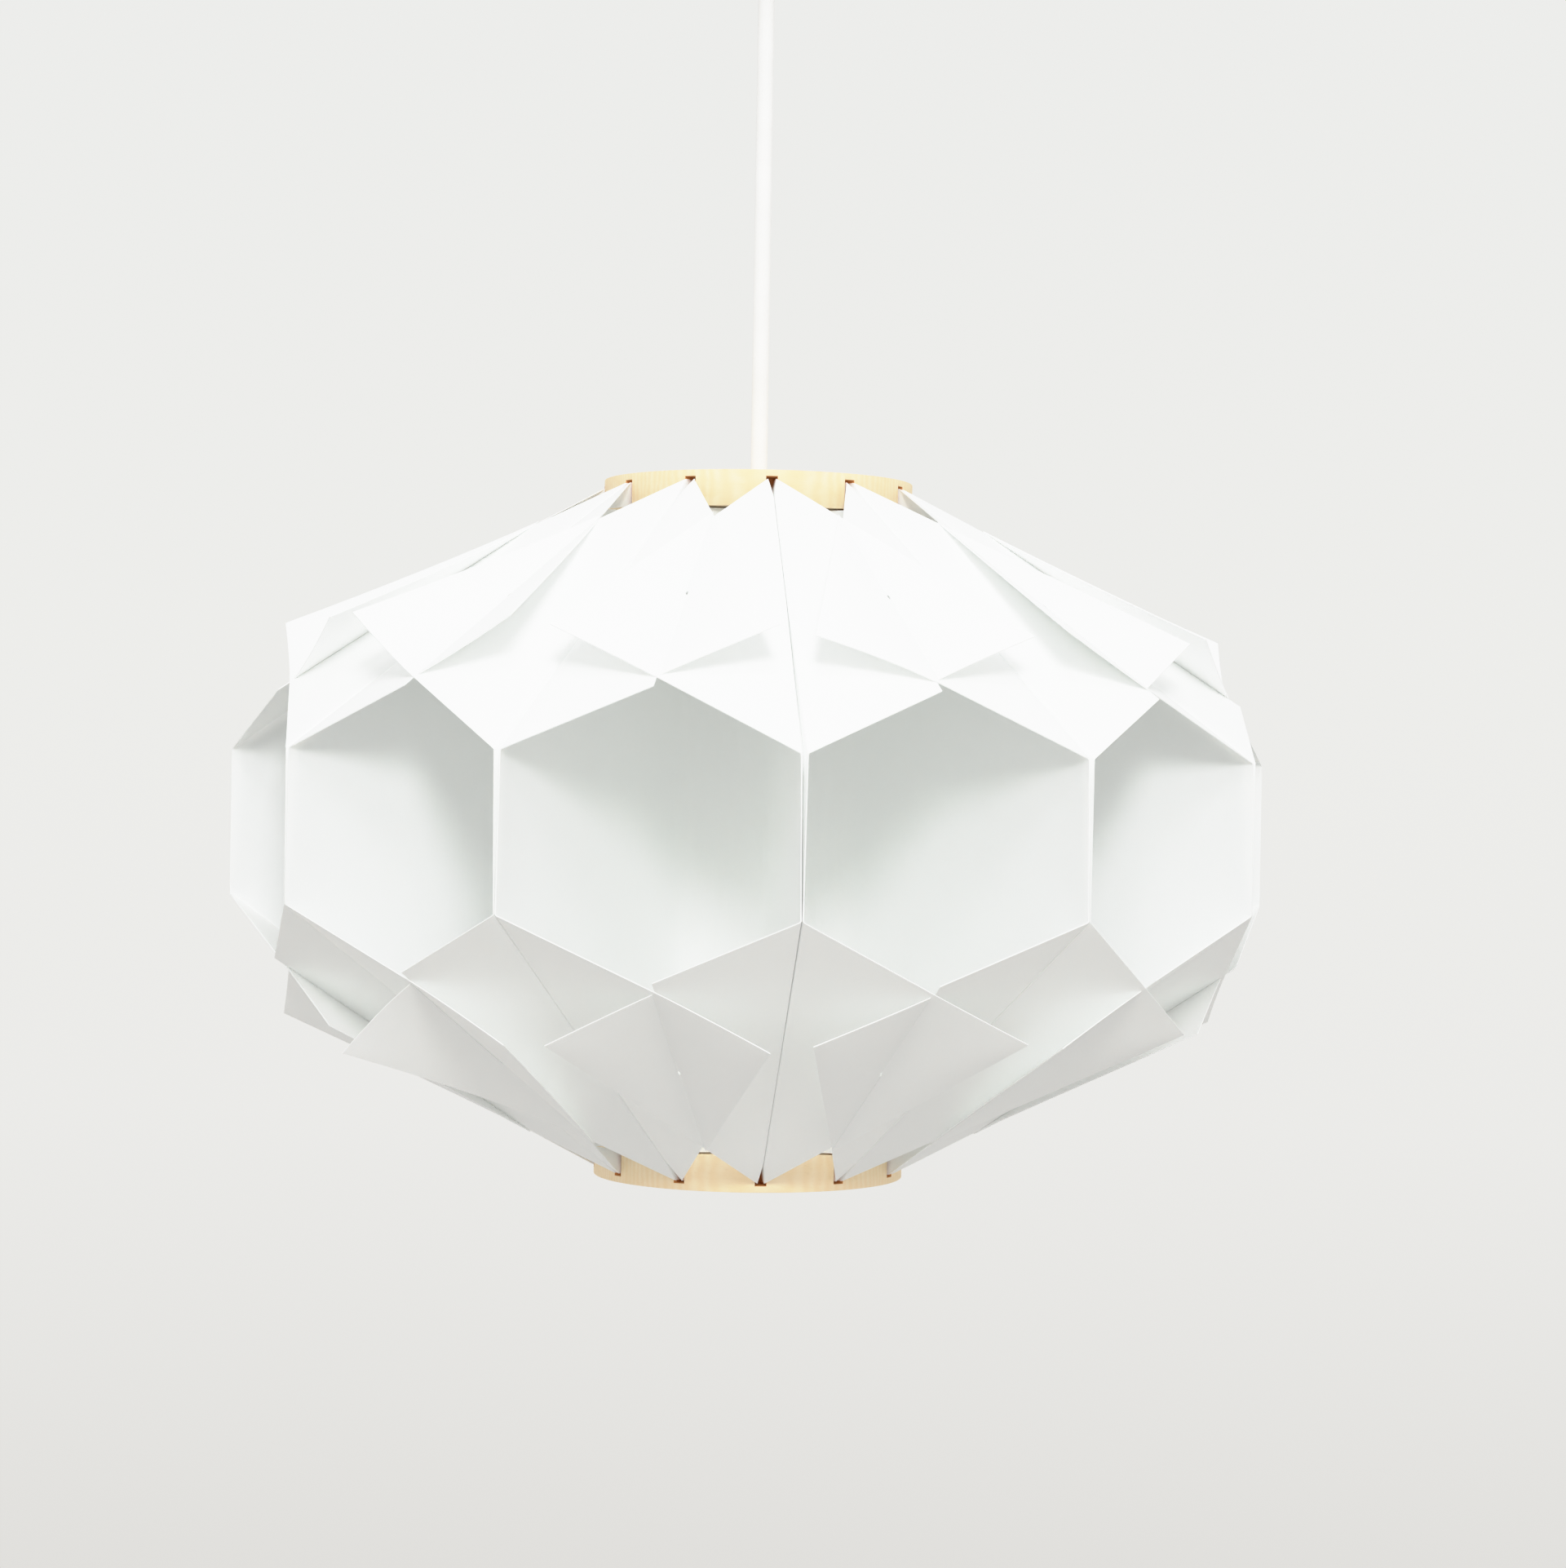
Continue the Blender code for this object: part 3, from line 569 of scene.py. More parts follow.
class Leaf:
    """One folded sheet: a deep upright pocket and four wings that cross in pairs over its mouth."""

    def __init__(self, number):
        self.number = number
        self.rng = random.Random(SEED + number)
        self.curls = CORNER_CURLS[number]
        self.gap_scale = {side: self.rng.uniform(*GAP_SPREAD) for side in (1, -1)}
        self.seed = Vector([self.rng.uniform(0, 50) for _ in range(3)])
        self.shape = bmesh.new()
        self.upper = fold_heights()
        middle = [KNEE_HEIGHT * (1 - 2 * i / MOUTH_STEPS) for i in range(1, MOUTH_STEPS)]
        self.heights = self.upper + middle + [-z for z in reversed(self.upper)]
        self.walls = {side: self.make_wall(side) for side in (1, -1)}
        self.make_back()
        for side in (1, -1):
            for up in (1, -1):
                self.make_wing(side, up)

    def gap(self, height, side):
        width = self.gap_scale[side] * float(np.interp(height, GAP_HEIGHTS, GAP_WIDTHS))
        if (self.number, side) in OPEN_SEAMS and height > KNEE_HEIGHT:
            width += OPEN_SEAM * math.sin(math.pi * along_fold(height))
        return width

    def wall_offset(self, radius, height, side):
        """The walls lie close behind their folds, but a hub's slot lets the tabs spring apart."""
        gap = self.gap(height, side)
        if abs(height) > HUB_UNDERSIDE:
            return gap
        depth = min(1.0, (fold_radius(height) - radius) / FOLD_DEPTH)
        ripple = noise.noise(Vector((radius, height, side)) * RIPPLE_SCALE + self.seed)
        return gap * (1 - depth) + depth * (WALL_OFFSET + WALL_RIPPLE * ripple)

    def make_wall(self, side):
        rows = []
        for height in self.heights:
            near, far = inner_radius(height), fold_radius(height)
            edge = min(FOLD_DEPTH, 0.4 * (far - near))
            inside = [near + (far - edge - near) * column / WALL_COLUMNS for column in range(WALL_COLUMNS)]
            row = []
            for radius in (*inside, far - edge, far - edge / 2, far):
                offset = self.wall_offset(radius, height, side)
                row.append(self.shape.verts.new(wall_point(radius, height, side, offset)))
            rows.append(row)
        for upper, lower in zip(rows, rows[1:]):
            for a, b, c, d in zip(upper, upper[1:], lower[1:], lower):
                self.shape.faces.new((a, b, c, d))
        return rows

    def make_back(self):
        """Rounded back, tangent to both side walls."""
        reach = math.pi / 2 - HALF_ANGLE
        rows = []
        for index, height in enumerate(self.heights):
            if abs(height) > BACK_TOP + 1e-9:
                continue
            ends = {side: self.walls[side][index][0] for side in (1, -1)}
            half = (ends[1].co.y - ends[-1].co.y) / 2
            bend = half / math.cos(HALF_ANGLE)
            centre = (ends[1].co.x + ends[-1].co.x) / 2 + bend * math.sin(HALF_ANGLE)
            middle = (ends[1].co.y + ends[-1].co.y) / 2
            row = [ends[-1]]
            for column in range(1, BACK_COLUMNS):
                turn = reach * (2 * column / BACK_COLUMNS - 1)
                place = (centre - bend * math.cos(turn), middle + bend * math.sin(turn), height)
                row.append(self.shape.verts.new(place))
            rows.append(row + [ends[1]])
        for upper, lower in zip(rows, rows[1:]):
            for a, b, c, d in zip(upper, upper[1:], lower[1:], lower):
                self.shape.faces.new((a, b, c, d))

    def make_wing(self, side, up):
        """Wing from the fold on this side, across the pocket's mouth to its free corner beyond the middle.

        One half slit runs in from the tip's edge or from the knee's edge to the pinhole, and the other
        wing of the pair goes through it.
        """
        count = len(self.upper)
        fold = [row[-1] for row in (self.walls[side][:count] if up > 0 else self.walls[side][::-1][:count])]
        from_tip = up * side > 0
        corner = Vector((CORNER.x, -side * CORNER.y, up * CORNER.z))
        tip, knee = (wall_point(r, up * z, side, CREASE_OFFSET) for r, z in
                     ((TIP_RADIUS, TIP_HEIGHT), (KNEE_RADIUS, KNEE_HEIGHT)))
        ends = [start + (corner - start) * (start.y / (start.y - corner.y)) for start in (tip, knee)]
        line = (ends[1] - ends[0]).normalized()
        pinhole = ends[0].lerp(ends[1], PINHOLE_SHARE)
        normal = (knee - tip).cross(corner - tip).normalized()
        normal *= 1 if normal.z * up > 0 else -1
        across = line.cross(normal)
        across *= 1 if across.dot(corner - pinhole) > 0 else -1
        under, over = [end.copy() for end in ends], [end.copy() for end in ends]
        if from_tip:
            over[0] -= line * SLIT_JOG_TIP
        else:
            over[1] -= line * SLIT_JOG_KNEE
            under[1] += line * SLIT_SAG_KNEE
        curl = self.curls[(0 if side > 0 else 1) + (0 if up > 0 else 2)] / 1000
        bow = self.rng.uniform(*BOW_RANGE)
        reach = (corner - pinhole).length

        def crossing(points, share):
            if share <= PINHOLE_SHARE:
                return points[0].lerp(pinhole, share / PINHOLE_SHARE)
            return pinhole.lerp(points[1], (share - PINHOLE_SHARE) / (1 - PINHOLE_SHARE))

        def half_width(share):
            away = abs(share - PINHOLE_SHARE) * (ends[1] - ends[0]).length
            hole = math.sqrt(max(0.0, PINHOLE_RADIUS ** 2 - away ** 2))
            slit = share < PINHOLE_SHARE if from_tip else share > PINHOLE_SHARE
            return max(hole, SLIT_HALF_WIDTH if slit else 0.0)

        rows = []
        for vert in fold:
            share = along_fold(vert.co.z)
            width = half_width(share)
            near = crossing(under, share) - across * width
            far = crossing(over, share) + across * width
            row = [vert]
            for column in range(1, WING_COLUMNS + 1):
                part = column / WING_COLUMNS
                sway = bow * 0.5 * math.sin(math.pi * part) * math.sin(math.pi * share)
                row.append(self.shape.verts.new(vert.co.lerp(near, part) + normal * sway))
            first = row[-1]
            if width > 0:
                first = self.shape.verts.new(far)
            petal = [first]
            for column in range(1, WING_COLUMNS):
                part = column / WING_COLUMNS * PETAL_END
                point = far.lerp(corner, part)
                distance = max(0.0, (point - pinhole).dot(across)) / reach
                sway = bow * math.sin(math.pi * part) * math.sin(math.pi * share)
                sway += curl * distance ** CURL_POWER
                petal.append(self.shape.verts.new(point + normal * sway))
            rows.append((row, petal))
        distance = (corner - pinhole).dot(across) / reach
        last = self.shape.verts.new(corner + normal * curl * distance ** CURL_POWER)
        for (ridge_a, petal_a), (ridge_b, petal_b) in zip(rows, rows[1:]):
            for row_a, row_b in ((ridge_a, ridge_b), (petal_a, petal_b)):
                for a, b, c, d in zip(row_a, row_a[1:], row_b[1:], row_b):
                    if len({a, b, c, d}) == 4:
                        self.shape.faces.new((a, b, c, d))
            self.shape.faces.new((petal_a[-1], last, petal_b[-1]))

    def build(self):
        bmesh.ops.recalc_face_normals(self.shape, faces=self.shape.faces)
        folds = [edge for edge in self.shape.edges
                 if len(edge.link_faces) == 2 and edge.calc_face_angle(0.0) > math.radians(40)]
        bmesh.ops.bevel(self.shape, geom=folds, offset=FOLD_ROUNDING, segments=3, profile=0.5, affect="EDGES")
        name = f"leaf_sheet_{self.number:02d}"
        leaf = new_object(name, mesh_from(self.shape, name), PAPER)
        thickness = leaf.modifiers.new("Sheet", "SOLIDIFY")
        thickness.thickness = SHEET
        thickness.offset = 0.0
        thickness.use_even_offset = True
        freeze(leaf, 32.0)
        turn = -math.pi / 2 + HALF_ANGLE + (self.number - 1) * 2 * HALF_ANGLE
        leaf.data.transform(Matrix.Translation((0, 0, SHADE_MID)) @ Matrix.Rotation(turn, 4, "Z"))
        return leaf


def make_leaves():
    for number in range(1, LEAF_COUNT + 1):
        stand_for(f"paper_leaf_{number:02d}", Leaf(number).build())


# ------------------------ wooden hubs

CORD_HOLE, BULB_HOLE = 0.0050, 0.0420       # radii
HUB_BEVEL = 0.0003
SLOT_CUTTER = 0.020                 # the cutter's length along a slot
OVERCUT = 0.002                     # how far it reaches out of the hub's inner face
NEAR = 0.0001                       # close enough to count as lying on a surface


def make_hub(node, up, hole_radius):
    """Slotted disc, with its edges softened by sanding, and its slot walls browned where they were cut and
    darkened with painted shade.
    """
    outer, inner = SHADE_MID + up * HUB_FACE, SHADE_MID + up * HUB_UNDERSIDE
    top, bottom = max(outer, inner), min(outer, inner)
    profile = [(HUB_RADIUS, top), (HUB_RADIUS, bottom), (hole_radius, bottom), (hole_radius, top)]
    disc = turned(f"{node}_disc", profile, [WOOD, SCORCHED_AND_SHADED_WOOD], segments=168)
    shape = bmesh.new()
    floor = outer - up * SLOT_FLOOR
    mouth = inner - up * OVERCUT
    for index in range(LEAF_COUNT):
        turn = Matrix.Rotation(-math.pi / 2 + index * 2 * HALF_ANGLE, 4, "Z")
        place = turn @ Matrix.Translation((SLOT_RADIUS + SLOT_CUTTER / 2, 0.0, (floor + mouth) / 2))
        size = Matrix.Diagonal((SLOT_CUTTER, SLOT_WIDTH, abs(floor - mouth), 1.0))
        bmesh.ops.create_cube(shape, size=1.0, matrix=place @ size)
    cut(disc, tool_from(shape))
    # the slot faces take the second material: browning from the cut with painted shade on top
    for face in disc.data.polygons:
        if in_slot(face, min(floor, mouth), max(floor, mouth)):
            face.material_index = 1
    soften(disc, HUB_BEVEL)
    stand_for(node, disc)


def in_slot(face, low, high):
    """True on the walls, floor and end of a slot."""
    centre = face.center
    radius = math.hypot(centre.x, centre.y)
    step = 2 * HALF_ANGLE
    turn = (math.atan2(centre.y, centre.x) + math.pi / 2 + step / 2) % step - step / 2
    between_walls = abs(radius * math.sin(turn)) < SLOT_WIDTH / 2 + NEAR / 2
    behind_rim = SLOT_RADIUS - NEAR < radius < HUB_RADIUS - HUB_BEVEL
    return between_walls and behind_rim and low - NEAR < centre.z < high + NEAR


make_leaves()
make_hub("top_hub", 1, CORD_HOLE)
make_hub("bottom_hub", -1, BULB_HOLE)


# ------------------------ shared by the small pieces

EDGE = 0.0004                       # an edge is softened by this much
RIB_COUNT, RIB_DEPTH, RIB_EASE = 48, 0.0004, 0.0015
SCREW_CAP_PITCH = 0.00362           # of the E27 thread


def span(node):
    """(radius, lowest z, highest z) of a round CAD node on the lamp's axis."""
    low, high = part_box(node)
    return (high.x - low.x) / 2, low.z, high.z


def between(start, end, steps):
    """Points from start to end, without start itself."""
    return [(start[0] + (end[0] - start[0]) * i / steps, start[1] + (end[1] - start[1]) * i / steps)
            for i in range(1, steps + 1)]


def flowing(start, leave, end, arrive, steps):
    """Points of a smooth curve with these unit directions at its ends; without the end itself."""
    start, end = Vector(start), Vector(end)
    pull = (end - start).length
    leave, arrive = Vector(leave) * pull, Vector(arrive) * pull
    points = []
    for index in range(steps):
        t = index / steps
        point = (start * (2 * t ** 3 - 3 * t ** 2 + 1) + leave * (t ** 3 - 2 * t ** 2 + t)
                 + end * (3 * t ** 2 - 2 * t ** 3) + arrive * (t ** 3 - t ** 2))
        points.append(tuple(point))
    return points


def thread(radius_above, low, high, pitch, depth):
    """Relief that cuts a rounded right-hand thread into the skin outside radius_above."""
    def relief(radius, z, angle):
        if radius < radius_above or not low < z < high:
            return radius
        ease = min(1.0, (z - low) / (0.5 * pitch), (high - z) / (0.5 * pitch))
        turn = 2 * math.pi * z / pitch - angle
        return radius - depth * ease * (0.5 - 0.5 * math.cos(turn))
    return relief


def ribs(radius_above, low, high):
    """Relief of fine upright ribs for the fingers."""
    def relief(radius, z, angle):
        if radius < radius_above or not low < z < high:
            return radius
        ease = min(1.0, (z - low) / RIB_EASE, (high - z) / RIB_EASE)
        return radius - RIB_DEPTH * ease * (0.5 - 0.5 * math.cos(RIB_COUNT * angle))
    return relief


def along_x(x, z, side=1):
    """A turned piece's own axis laid along X, with its head outwards on this side."""
    return Matrix.Translation((x, 0.0, z)) @ Matrix.Rotation(side * math.pi / 2, 4, "Y")


def slot_tool(width, length, depth, place):
    """Cutter for a screwdriver's slot, sunk by depth into the face at place."""
    shape = bmesh.new()
    bmesh.ops.create_cube(shape, size=1.0, matrix=place @ Matrix.Diagonal((length, width, 2 * depth, 1.0)))
    return tool_from(shape)


def hole_tool(radius, length, place, segments=32):
    shape = bmesh.new()
    bmesh.ops.create_cone(shape, cap_ends=True, segments=segments, radius1=radius, radius2=radius,
                          depth=length, matrix=place)
    return tool_from(shape)


# ------------------------ ceiling cup and what it holds

CUP_WALL = 0.0016
CUP_SHOULDER = 0.0120
CUP_DRAFT = 0.0015
NECK_HOLE = 0.0053                  # in the cup and in the nut, round the grip's threaded neck
SIDE_SCREW_HOLE = 0.0021            # in the cup and in the bracket
CEILING_SCREW_HOLE, CEILING_SCREW_PLACE = 0.0026, 0.026
BRACKET_SHEET, BRACKET_BEND = 0.0015, 0.0022


def side_screw_height():
    low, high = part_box("cup_screw_right")
    return (low.z + high.z) / 2


def make_cup():
    radius, floor, rim = span("ceiling_cup")
    centre = (radius - CUP_DRAFT - CUP_SHOULDER, floor + CUP_SHOULDER)
    bead = [(radius - EDGE, rim), (radius, rim - EDGE), (radius, rim - 0.0022), (radius - EDGE, rim - 0.0028)]
    wall = between(bead[-1], (radius - CUP_DRAFT, centre[1]), 4)
    outer = bead + wall + arc(centre, CUP_SHOULDER, 0, -90, 14)[1:]
    inner = arc(centre, CUP_SHOULDER - CUP_WALL, -90, 0, 14) + [(radius - CUP_WALL, rim)]
    profile = outer + [(NECK_HOLE, floor), (NECK_HOLE, floor + CUP_WALL)] + inner
    cup = turned("cup_shell", profile, CUP_PLASTIC, segments=128)
    cut(cup, hole_tool(SIDE_SCREW_HOLE, 3 * radius, along_x(0.0, side_screw_height())))
    stand_for("ceiling_cup", cup)


def make_bracket():
    """Pressed steel strap with rounded bends."""
    low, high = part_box("ceiling_bracket")
    half, width, bend = high.x - BRACKET_SHEET / 2, high.y, BRACKET_BEND
    middle = high.z - BRACKET_SHEET / 2
    line = [(-half, low.z), (-half, middle - bend)]
    line += [(-half + bend - bend * math.cos(t), middle - bend + bend * math.sin(t))
             for t in (math.pi / 8, math.pi / 4, 3 * math.pi / 8)]
    line += [(-half + bend, middle)]
    line += [(-x, z) for x, z in reversed(line)]
    shape = bmesh.new()
    rows = [[shape.verts.new((x, y, z)) for x, z in line] for y in (-width, width)]
    for i in range(len(line) - 1):
        shape.faces.new((rows[0][i], rows[0][i + 1], rows[1][i + 1], rows[1][i]))
    strap = new_object("bracket_strap", mesh_from(shape, "bracket_strap"), STEEL)
    thick = strap.modifiers.new("Sheet", "SOLIDIFY")
    thick.thickness = BRACKET_SHEET
    thick.offset = 0.0
    freeze(strap)
    for x in (-CEILING_SCREW_PLACE, CEILING_SCREW_PLACE):
        cut(strap, hole_tool(CEILING_SCREW_HOLE, 0.02, Matrix.Translation((x, 0, middle))))
    cut(strap, hole_tool(SIDE_SCREW_HOLE, 4 * half, along_x(0.0, side_screw_height())))
    soften(strap, 0.0002)
    stand_for("ceiling_bracket", strap)


def make_cup_screws():
    length, shank, head = 0.0085, 0.0018, 0.0020
    for node, side in (("cup_screw_left", -1), ("cup_screw_right", 1)):
        low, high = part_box(node)
        seat = side * (min(abs(low.x), abs(high.x)) + length)
        profile = [(0.0, head), (0.0015, 0.0019), (0.0025, 0.0016), (0.0032, 0.0009), (0.0034, 0.0003),
                   (0.0034, 0.0), (shank, 0.0)] + between((shank, 0.0), (shank, -0.0080), 40)
        profile += [(0.0014, -length), (0.0, -length)]
        screw = turned(f"{node}_thread", profile, STEEL, 40, closed=False,
                       relief=thread(0.0016, -0.0082, -0.0004, 0.0007, 0.00022))
        for turn in (0.0, math.pi / 2):
            face = Matrix.Translation((0, 0, head)) @ Matrix.Rotation(turn, 4, "Z")
            cut(screw, slot_tool(0.0006, 0.0038, 0.0009, face))
        screw.data.transform(along_x(seat, (low.z + high.z) / 2, side))
        stand_for(node, screw)


def make_terminals():
    low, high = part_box("terminal_block")
    middle, size = (low + high) / 2, high - low
    screw_hole, wire_hole = 0.0022, 0.0020
    shape = bmesh.new()
    bmesh.ops.create_cube(shape, size=1.0, matrix=Matrix.Translation(middle) @ Matrix.Diagonal((*size, 1.0)))
    bmesh.ops.bevel(shape, geom=shape.edges[:], offset=0.0008, segments=3, affect="EDGES", profile=0.5)
    block = new_object("terminal_housing", mesh_from(shape, "terminal_housing"), TERMINAL_PLASTIC)
    for node in ("terminal_screw_left", "terminal_screw_right"):
        screw_low, screw_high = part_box(node)
        x = (screw_low.x + screw_high.x) / 2
        cut(block, hole_tool(screw_hole, 0.008, Matrix.Translation((x, 0, low.z))))
        cut(block, hole_tool(wire_hole, 0.007, Matrix.Translation((x, low.y, middle.z)) @ SIDEWAYS))
        height = (screw_high.y - screw_low.y) / 2
        radius = (screw_high.x - screw_low.x) / 2
        profile = [(0.0, height), (radius - 0.0002, height), (radius, height - 0.0002),
                   (radius, -height), (0.0, -height)]
        screw = turned(f"{node}_pin", profile, BRASS, 32, closed=False)
        cut(screw, slot_tool(0.0005, 0.004, 0.0008, Matrix.Translation((0, 0, height))))
        screw.data.transform(Matrix.Translation((x, (screw_low.y + screw_high.y) / 2, middle.z)) @ SIDEWAYS)
        stand_for(node, screw)
    # a groove between the two ways
    cut(block, slot_tool(0.0008, size.y * 1.2, 0.0007,
                         Matrix.Translation((0, 0, low.z)) @ Matrix.Rotation(math.pi / 2, 4, "Z")))
    freeze(block)
    stand_for("terminal_block", block)


def make_grip():
    radius, mouth, top = span("cord_grip")
    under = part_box("ceiling_cup")[0].z - 0.0003
    neck = 0.0050
    profile = [(neck - EDGE, top)] + between((neck, top - EDGE), (neck, under + 0.0006), 44)
    profile += [(neck, under), (radius - EDGE, under), (radius, under - EDGE),
                (radius, under - 0.0021), (radius - 0.0005, under - 0.0027)]
    profile += between((0.0068, under - 0.0040), (0.0060, mouth + 0.0012), 6)
    profile += arc((0.0048, mouth + 0.0012), 0.0012, 0, -90, 4) + [(CORD_BORE, mouth), (CORD_BORE, top)]
    grip = turned("grip_bush", profile, CUP_PLASTIC, 72,
                  relief=thread(neck - NEAR, under + 0.0004, top - 0.0003, 0.0010, 0.0004))
    screw_low, screw_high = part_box("grip_screw")
    middle = (screw_low + screw_high) / 2
    cut(grip, hole_tool(0.0019, 0.010, Matrix.Translation((0, -0.0080, middle.z)) @ SIDEWAYS))
    stand_for("cord_grip", grip)

    length, pin = screw_high.y - screw_low.y, (screw_high.x - screw_low.x) / 2
    profile = [(0.0, 0.0), (pin - 0.0002, 0.0), (pin, -0.0002), (pin, -length), (0.0, -length)]
    screw = turned("grip_setscrew", profile, CUP_PLASTIC, 32, closed=False)
    # its slot is turned away from the mesh's own points, for a clean cut
    cut(screw, slot_tool(0.0005, 0.004, 0.0008, Matrix.Rotation(0.4, 4, "Z")))
    screw.data.transform(Matrix.Translation((0, screw_low.y, middle.z)) @ SIDEWAYS)
    stand_for("grip_screw", screw)

    nut_low, nut_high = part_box("grip_nut")
    shape = bmesh.new()
    bmesh.ops.create_cone(shape, cap_ends=True, segments=6, radius1=nut_high.y, radius2=nut_high.y,
                          depth=nut_high.z - nut_low.z)
    nut = new_object("grip_hexnut", mesh_from(shape, "grip_hexnut"), CUP_PLASTIC)
    cut(nut, hole_tool(NECK_HOLE, 0.02, Matrix.Identity(4), 64))
    soften(nut, EDGE)
    nut.data.transform(Matrix.Translation((nut_low + nut_high) / 2))
    stand_for("grip_nut", nut)
    return [grip, nut, screw]


# ------------------------ lampholder

def make_lampholder():
    radius, joint, top = span("lampholder_cap")
    wall, crown = 0.0016, 0.0140
    drop = radius - crown
    outer = arc((crown, top - drop), drop, 90, 0, 12)
    outer += between(outer[-1], (radius, joint + 0.0012), 10)
    outer += [(radius - EDGE, joint + 0.0008), (radius - EDGE, joint + EDGE), (radius - 0.0006, joint)]
    inner = [(radius - wall, joint)] + arc((crown, top - drop), drop - wall, 0, 90, 12)
    profile = outer + inner + [(CORD_BORE, top - wall), (CORD_BORE, top)]
    cap = turned("holder_cap_shell", profile, HOLDER_PLASTIC, 192,
                 relief=ribs(radius - NEAR, joint + 0.0015, top - drop - 0.001))
    stand_for("lampholder_cap", cap)

    radius, low, neck_top = span("lampholder_body")
    neck, bore = radius - wall - EDGE, 0.0176
    profile = [(neck - 0.0003, neck_top), (neck, neck_top - 0.0003)]
    profile += between(profile[-1], (neck, joint - 0.0003), 30)
    profile += [(radius - EDGE, joint - 0.0003), (radius, joint - 0.0007)]
    profile += between(profile[-1], (radius, low + 0.0010), 24)
    profile += arc((radius - 0.0010, low + 0.0010), 0.0010, 0, -90, 4)
    profile += [(bore + 0.0006, low), (bore, low + 0.0006), (bore, neck_top)]
    neck_thread = thread(neck - NEAR, joint, neck_top, 0.0020, 0.0006)
    skirt_ribs = ribs(radius - NEAR, low + 0.008, joint - 0.004)

    def relief(reach, z, angle):
        return neck_thread(reach, z, angle) if z > joint else skirt_ribs(reach, z, angle)

    body = turned("holder_body_shell", profile, HOLDER_PLASTIC, 192, relief=relief)
    stand_for("lampholder_body", body)

    radius, low, high = span("contact_insert")
    insert = turned("insert_disc", [(0.0, high), (radius, high), (radius, low), (0.0, low)], CERAMIC, 72,
                    closed=False, bevel=0.0005)
    stand_for("contact_insert", insert)

    radius, low, high = span("threaded_shell")
    skin = 0.0005
    outer = [(radius, high)] + between((radius, high), (radius, low), 60)
    inner = [(radius - skin, low)] + between((radius - skin, low), (radius - skin, high), 60)
    shell = turned("shell_thread", outer + inner, BRASS, 96,
                   relief=thread(0.0, low + 0.001, high, SCREW_CAP_PITCH, 0.0003))
    stand_for("threaded_shell", shell)

    for node, name, finish, slot, bore in (
            ("cord_clamp", "clamp_ring", STEEL, "steel", CORD_BORE),
            ("hub_washer", "washer_ring", RUBBER, "washer_rubber", CORD_RADIUS + 0.0010)):
        radius, low, high = span(node)
        profile = [(radius, high), (radius, low), (bore, low), (bore, high)]
        ring = turned(name, profile, finish, 72, bevel=EDGE)
        stand_for(node, ring)

    contact = frame["nodes"]["centre_contact"]
    contact.data.materials.clear()
    contact.data.materials.append(BRASS)


# ------------------------ bulb

def make_bulb():
    radius, low, high = span("bulb_contact")
    profile = [(0.0, high), (0.0016, high - 0.0001), (0.0032, high - 0.0004), (radius, high - 0.0011),
               (radius, low), (0.0, low)]
    tip = turned("bulb_tip_dome", profile, BRASS, 40, closed=False)
    stand_for("bulb_contact", tip)

    radius, rim, high = span("bulb_screw_cap")
    lining, collar = radius - 0.0005, rim + 0.006
    profile = [(0.0, high), (0.0060, high), (radius - 0.0008, high - 0.0040)]
    profile += between(profile[-1], (radius, high - 0.0050), 2)
    profile += between((radius, high - 0.0050), (radius, rim), 60)
    profile += [(lining, rim), (lining, collar), (0.0, collar)]
    cap = turned("bulb_cap_thread", profile, BULB_METAL, 96, closed=False,
                 relief=thread(radius - NEAR, rim + 0.0030, high - 0.0045, SCREW_CAP_PITCH, 0.0007))
    stand_for("bulb_screw_cap", cap)

    radius, bottom, neck_top = span("bulb_glass")
    wall, neck, shoulder = 0.0008, 0.0123, math.radians(35)
    centre = bottom + radius
    join = (radius * math.cos(shoulder), centre + radius * math.sin(shoulder))
    arrive = (math.sin(shoulder), -math.cos(shoulder))
    outer = [(neck, neck_top)] + flowing((neck, rim), (0, -1), join, arrive, 12)
    globe = arc((0.0, centre), radius, 35, -90, 30)
    outer += globe[:-1] + [(0.0, bottom)]
    inner = [(0.0, bottom + wall)] + arc((0.0, centre), radius - wall, -90, 35, 30)[1:]
    inner += [(reach - wall, z) for reach, z in reversed(outer[:12])]
    glass = turned("bulb_globe", outer + inner, OPAL, 96)
    stand_for("bulb_glass", glass)


make_cup()
make_bracket()
make_cup_screws()
make_terminals()
CORD_PIECES = make_grip()
make_lampholder()
make_bulb()


# ------------------------ light, floor and background

FLOOR_DROP = 2.60                   # below the camera, so the photograph's view shows none of it
FLOOR_RADIUS = 5.4
WHITE_LEVEL = 1.8                   # the light that is shown as full white
SHOULDER = ((0.30, 0.30), (0.60, 0.60), (0.85, 0.84), (1.05, 0.93), (1.30, 0.975))      # (light, shown)
# colour of the surroundings by height, from straight down to straight up
SKY = ((0.0, (0.50, 0.49, 0.47)), (0.36, (0.70, 0.69, 0.67)), (0.45, (0.84, 0.835, 0.81)),
       (0.52, (0.862, 0.862, 0.832)), (0.60, (0.855, 0.86, 0.835)), (0.72, (0.86, 0.86, 0.85)),
       (1.0, (0.95, 0.96, 0.97)))


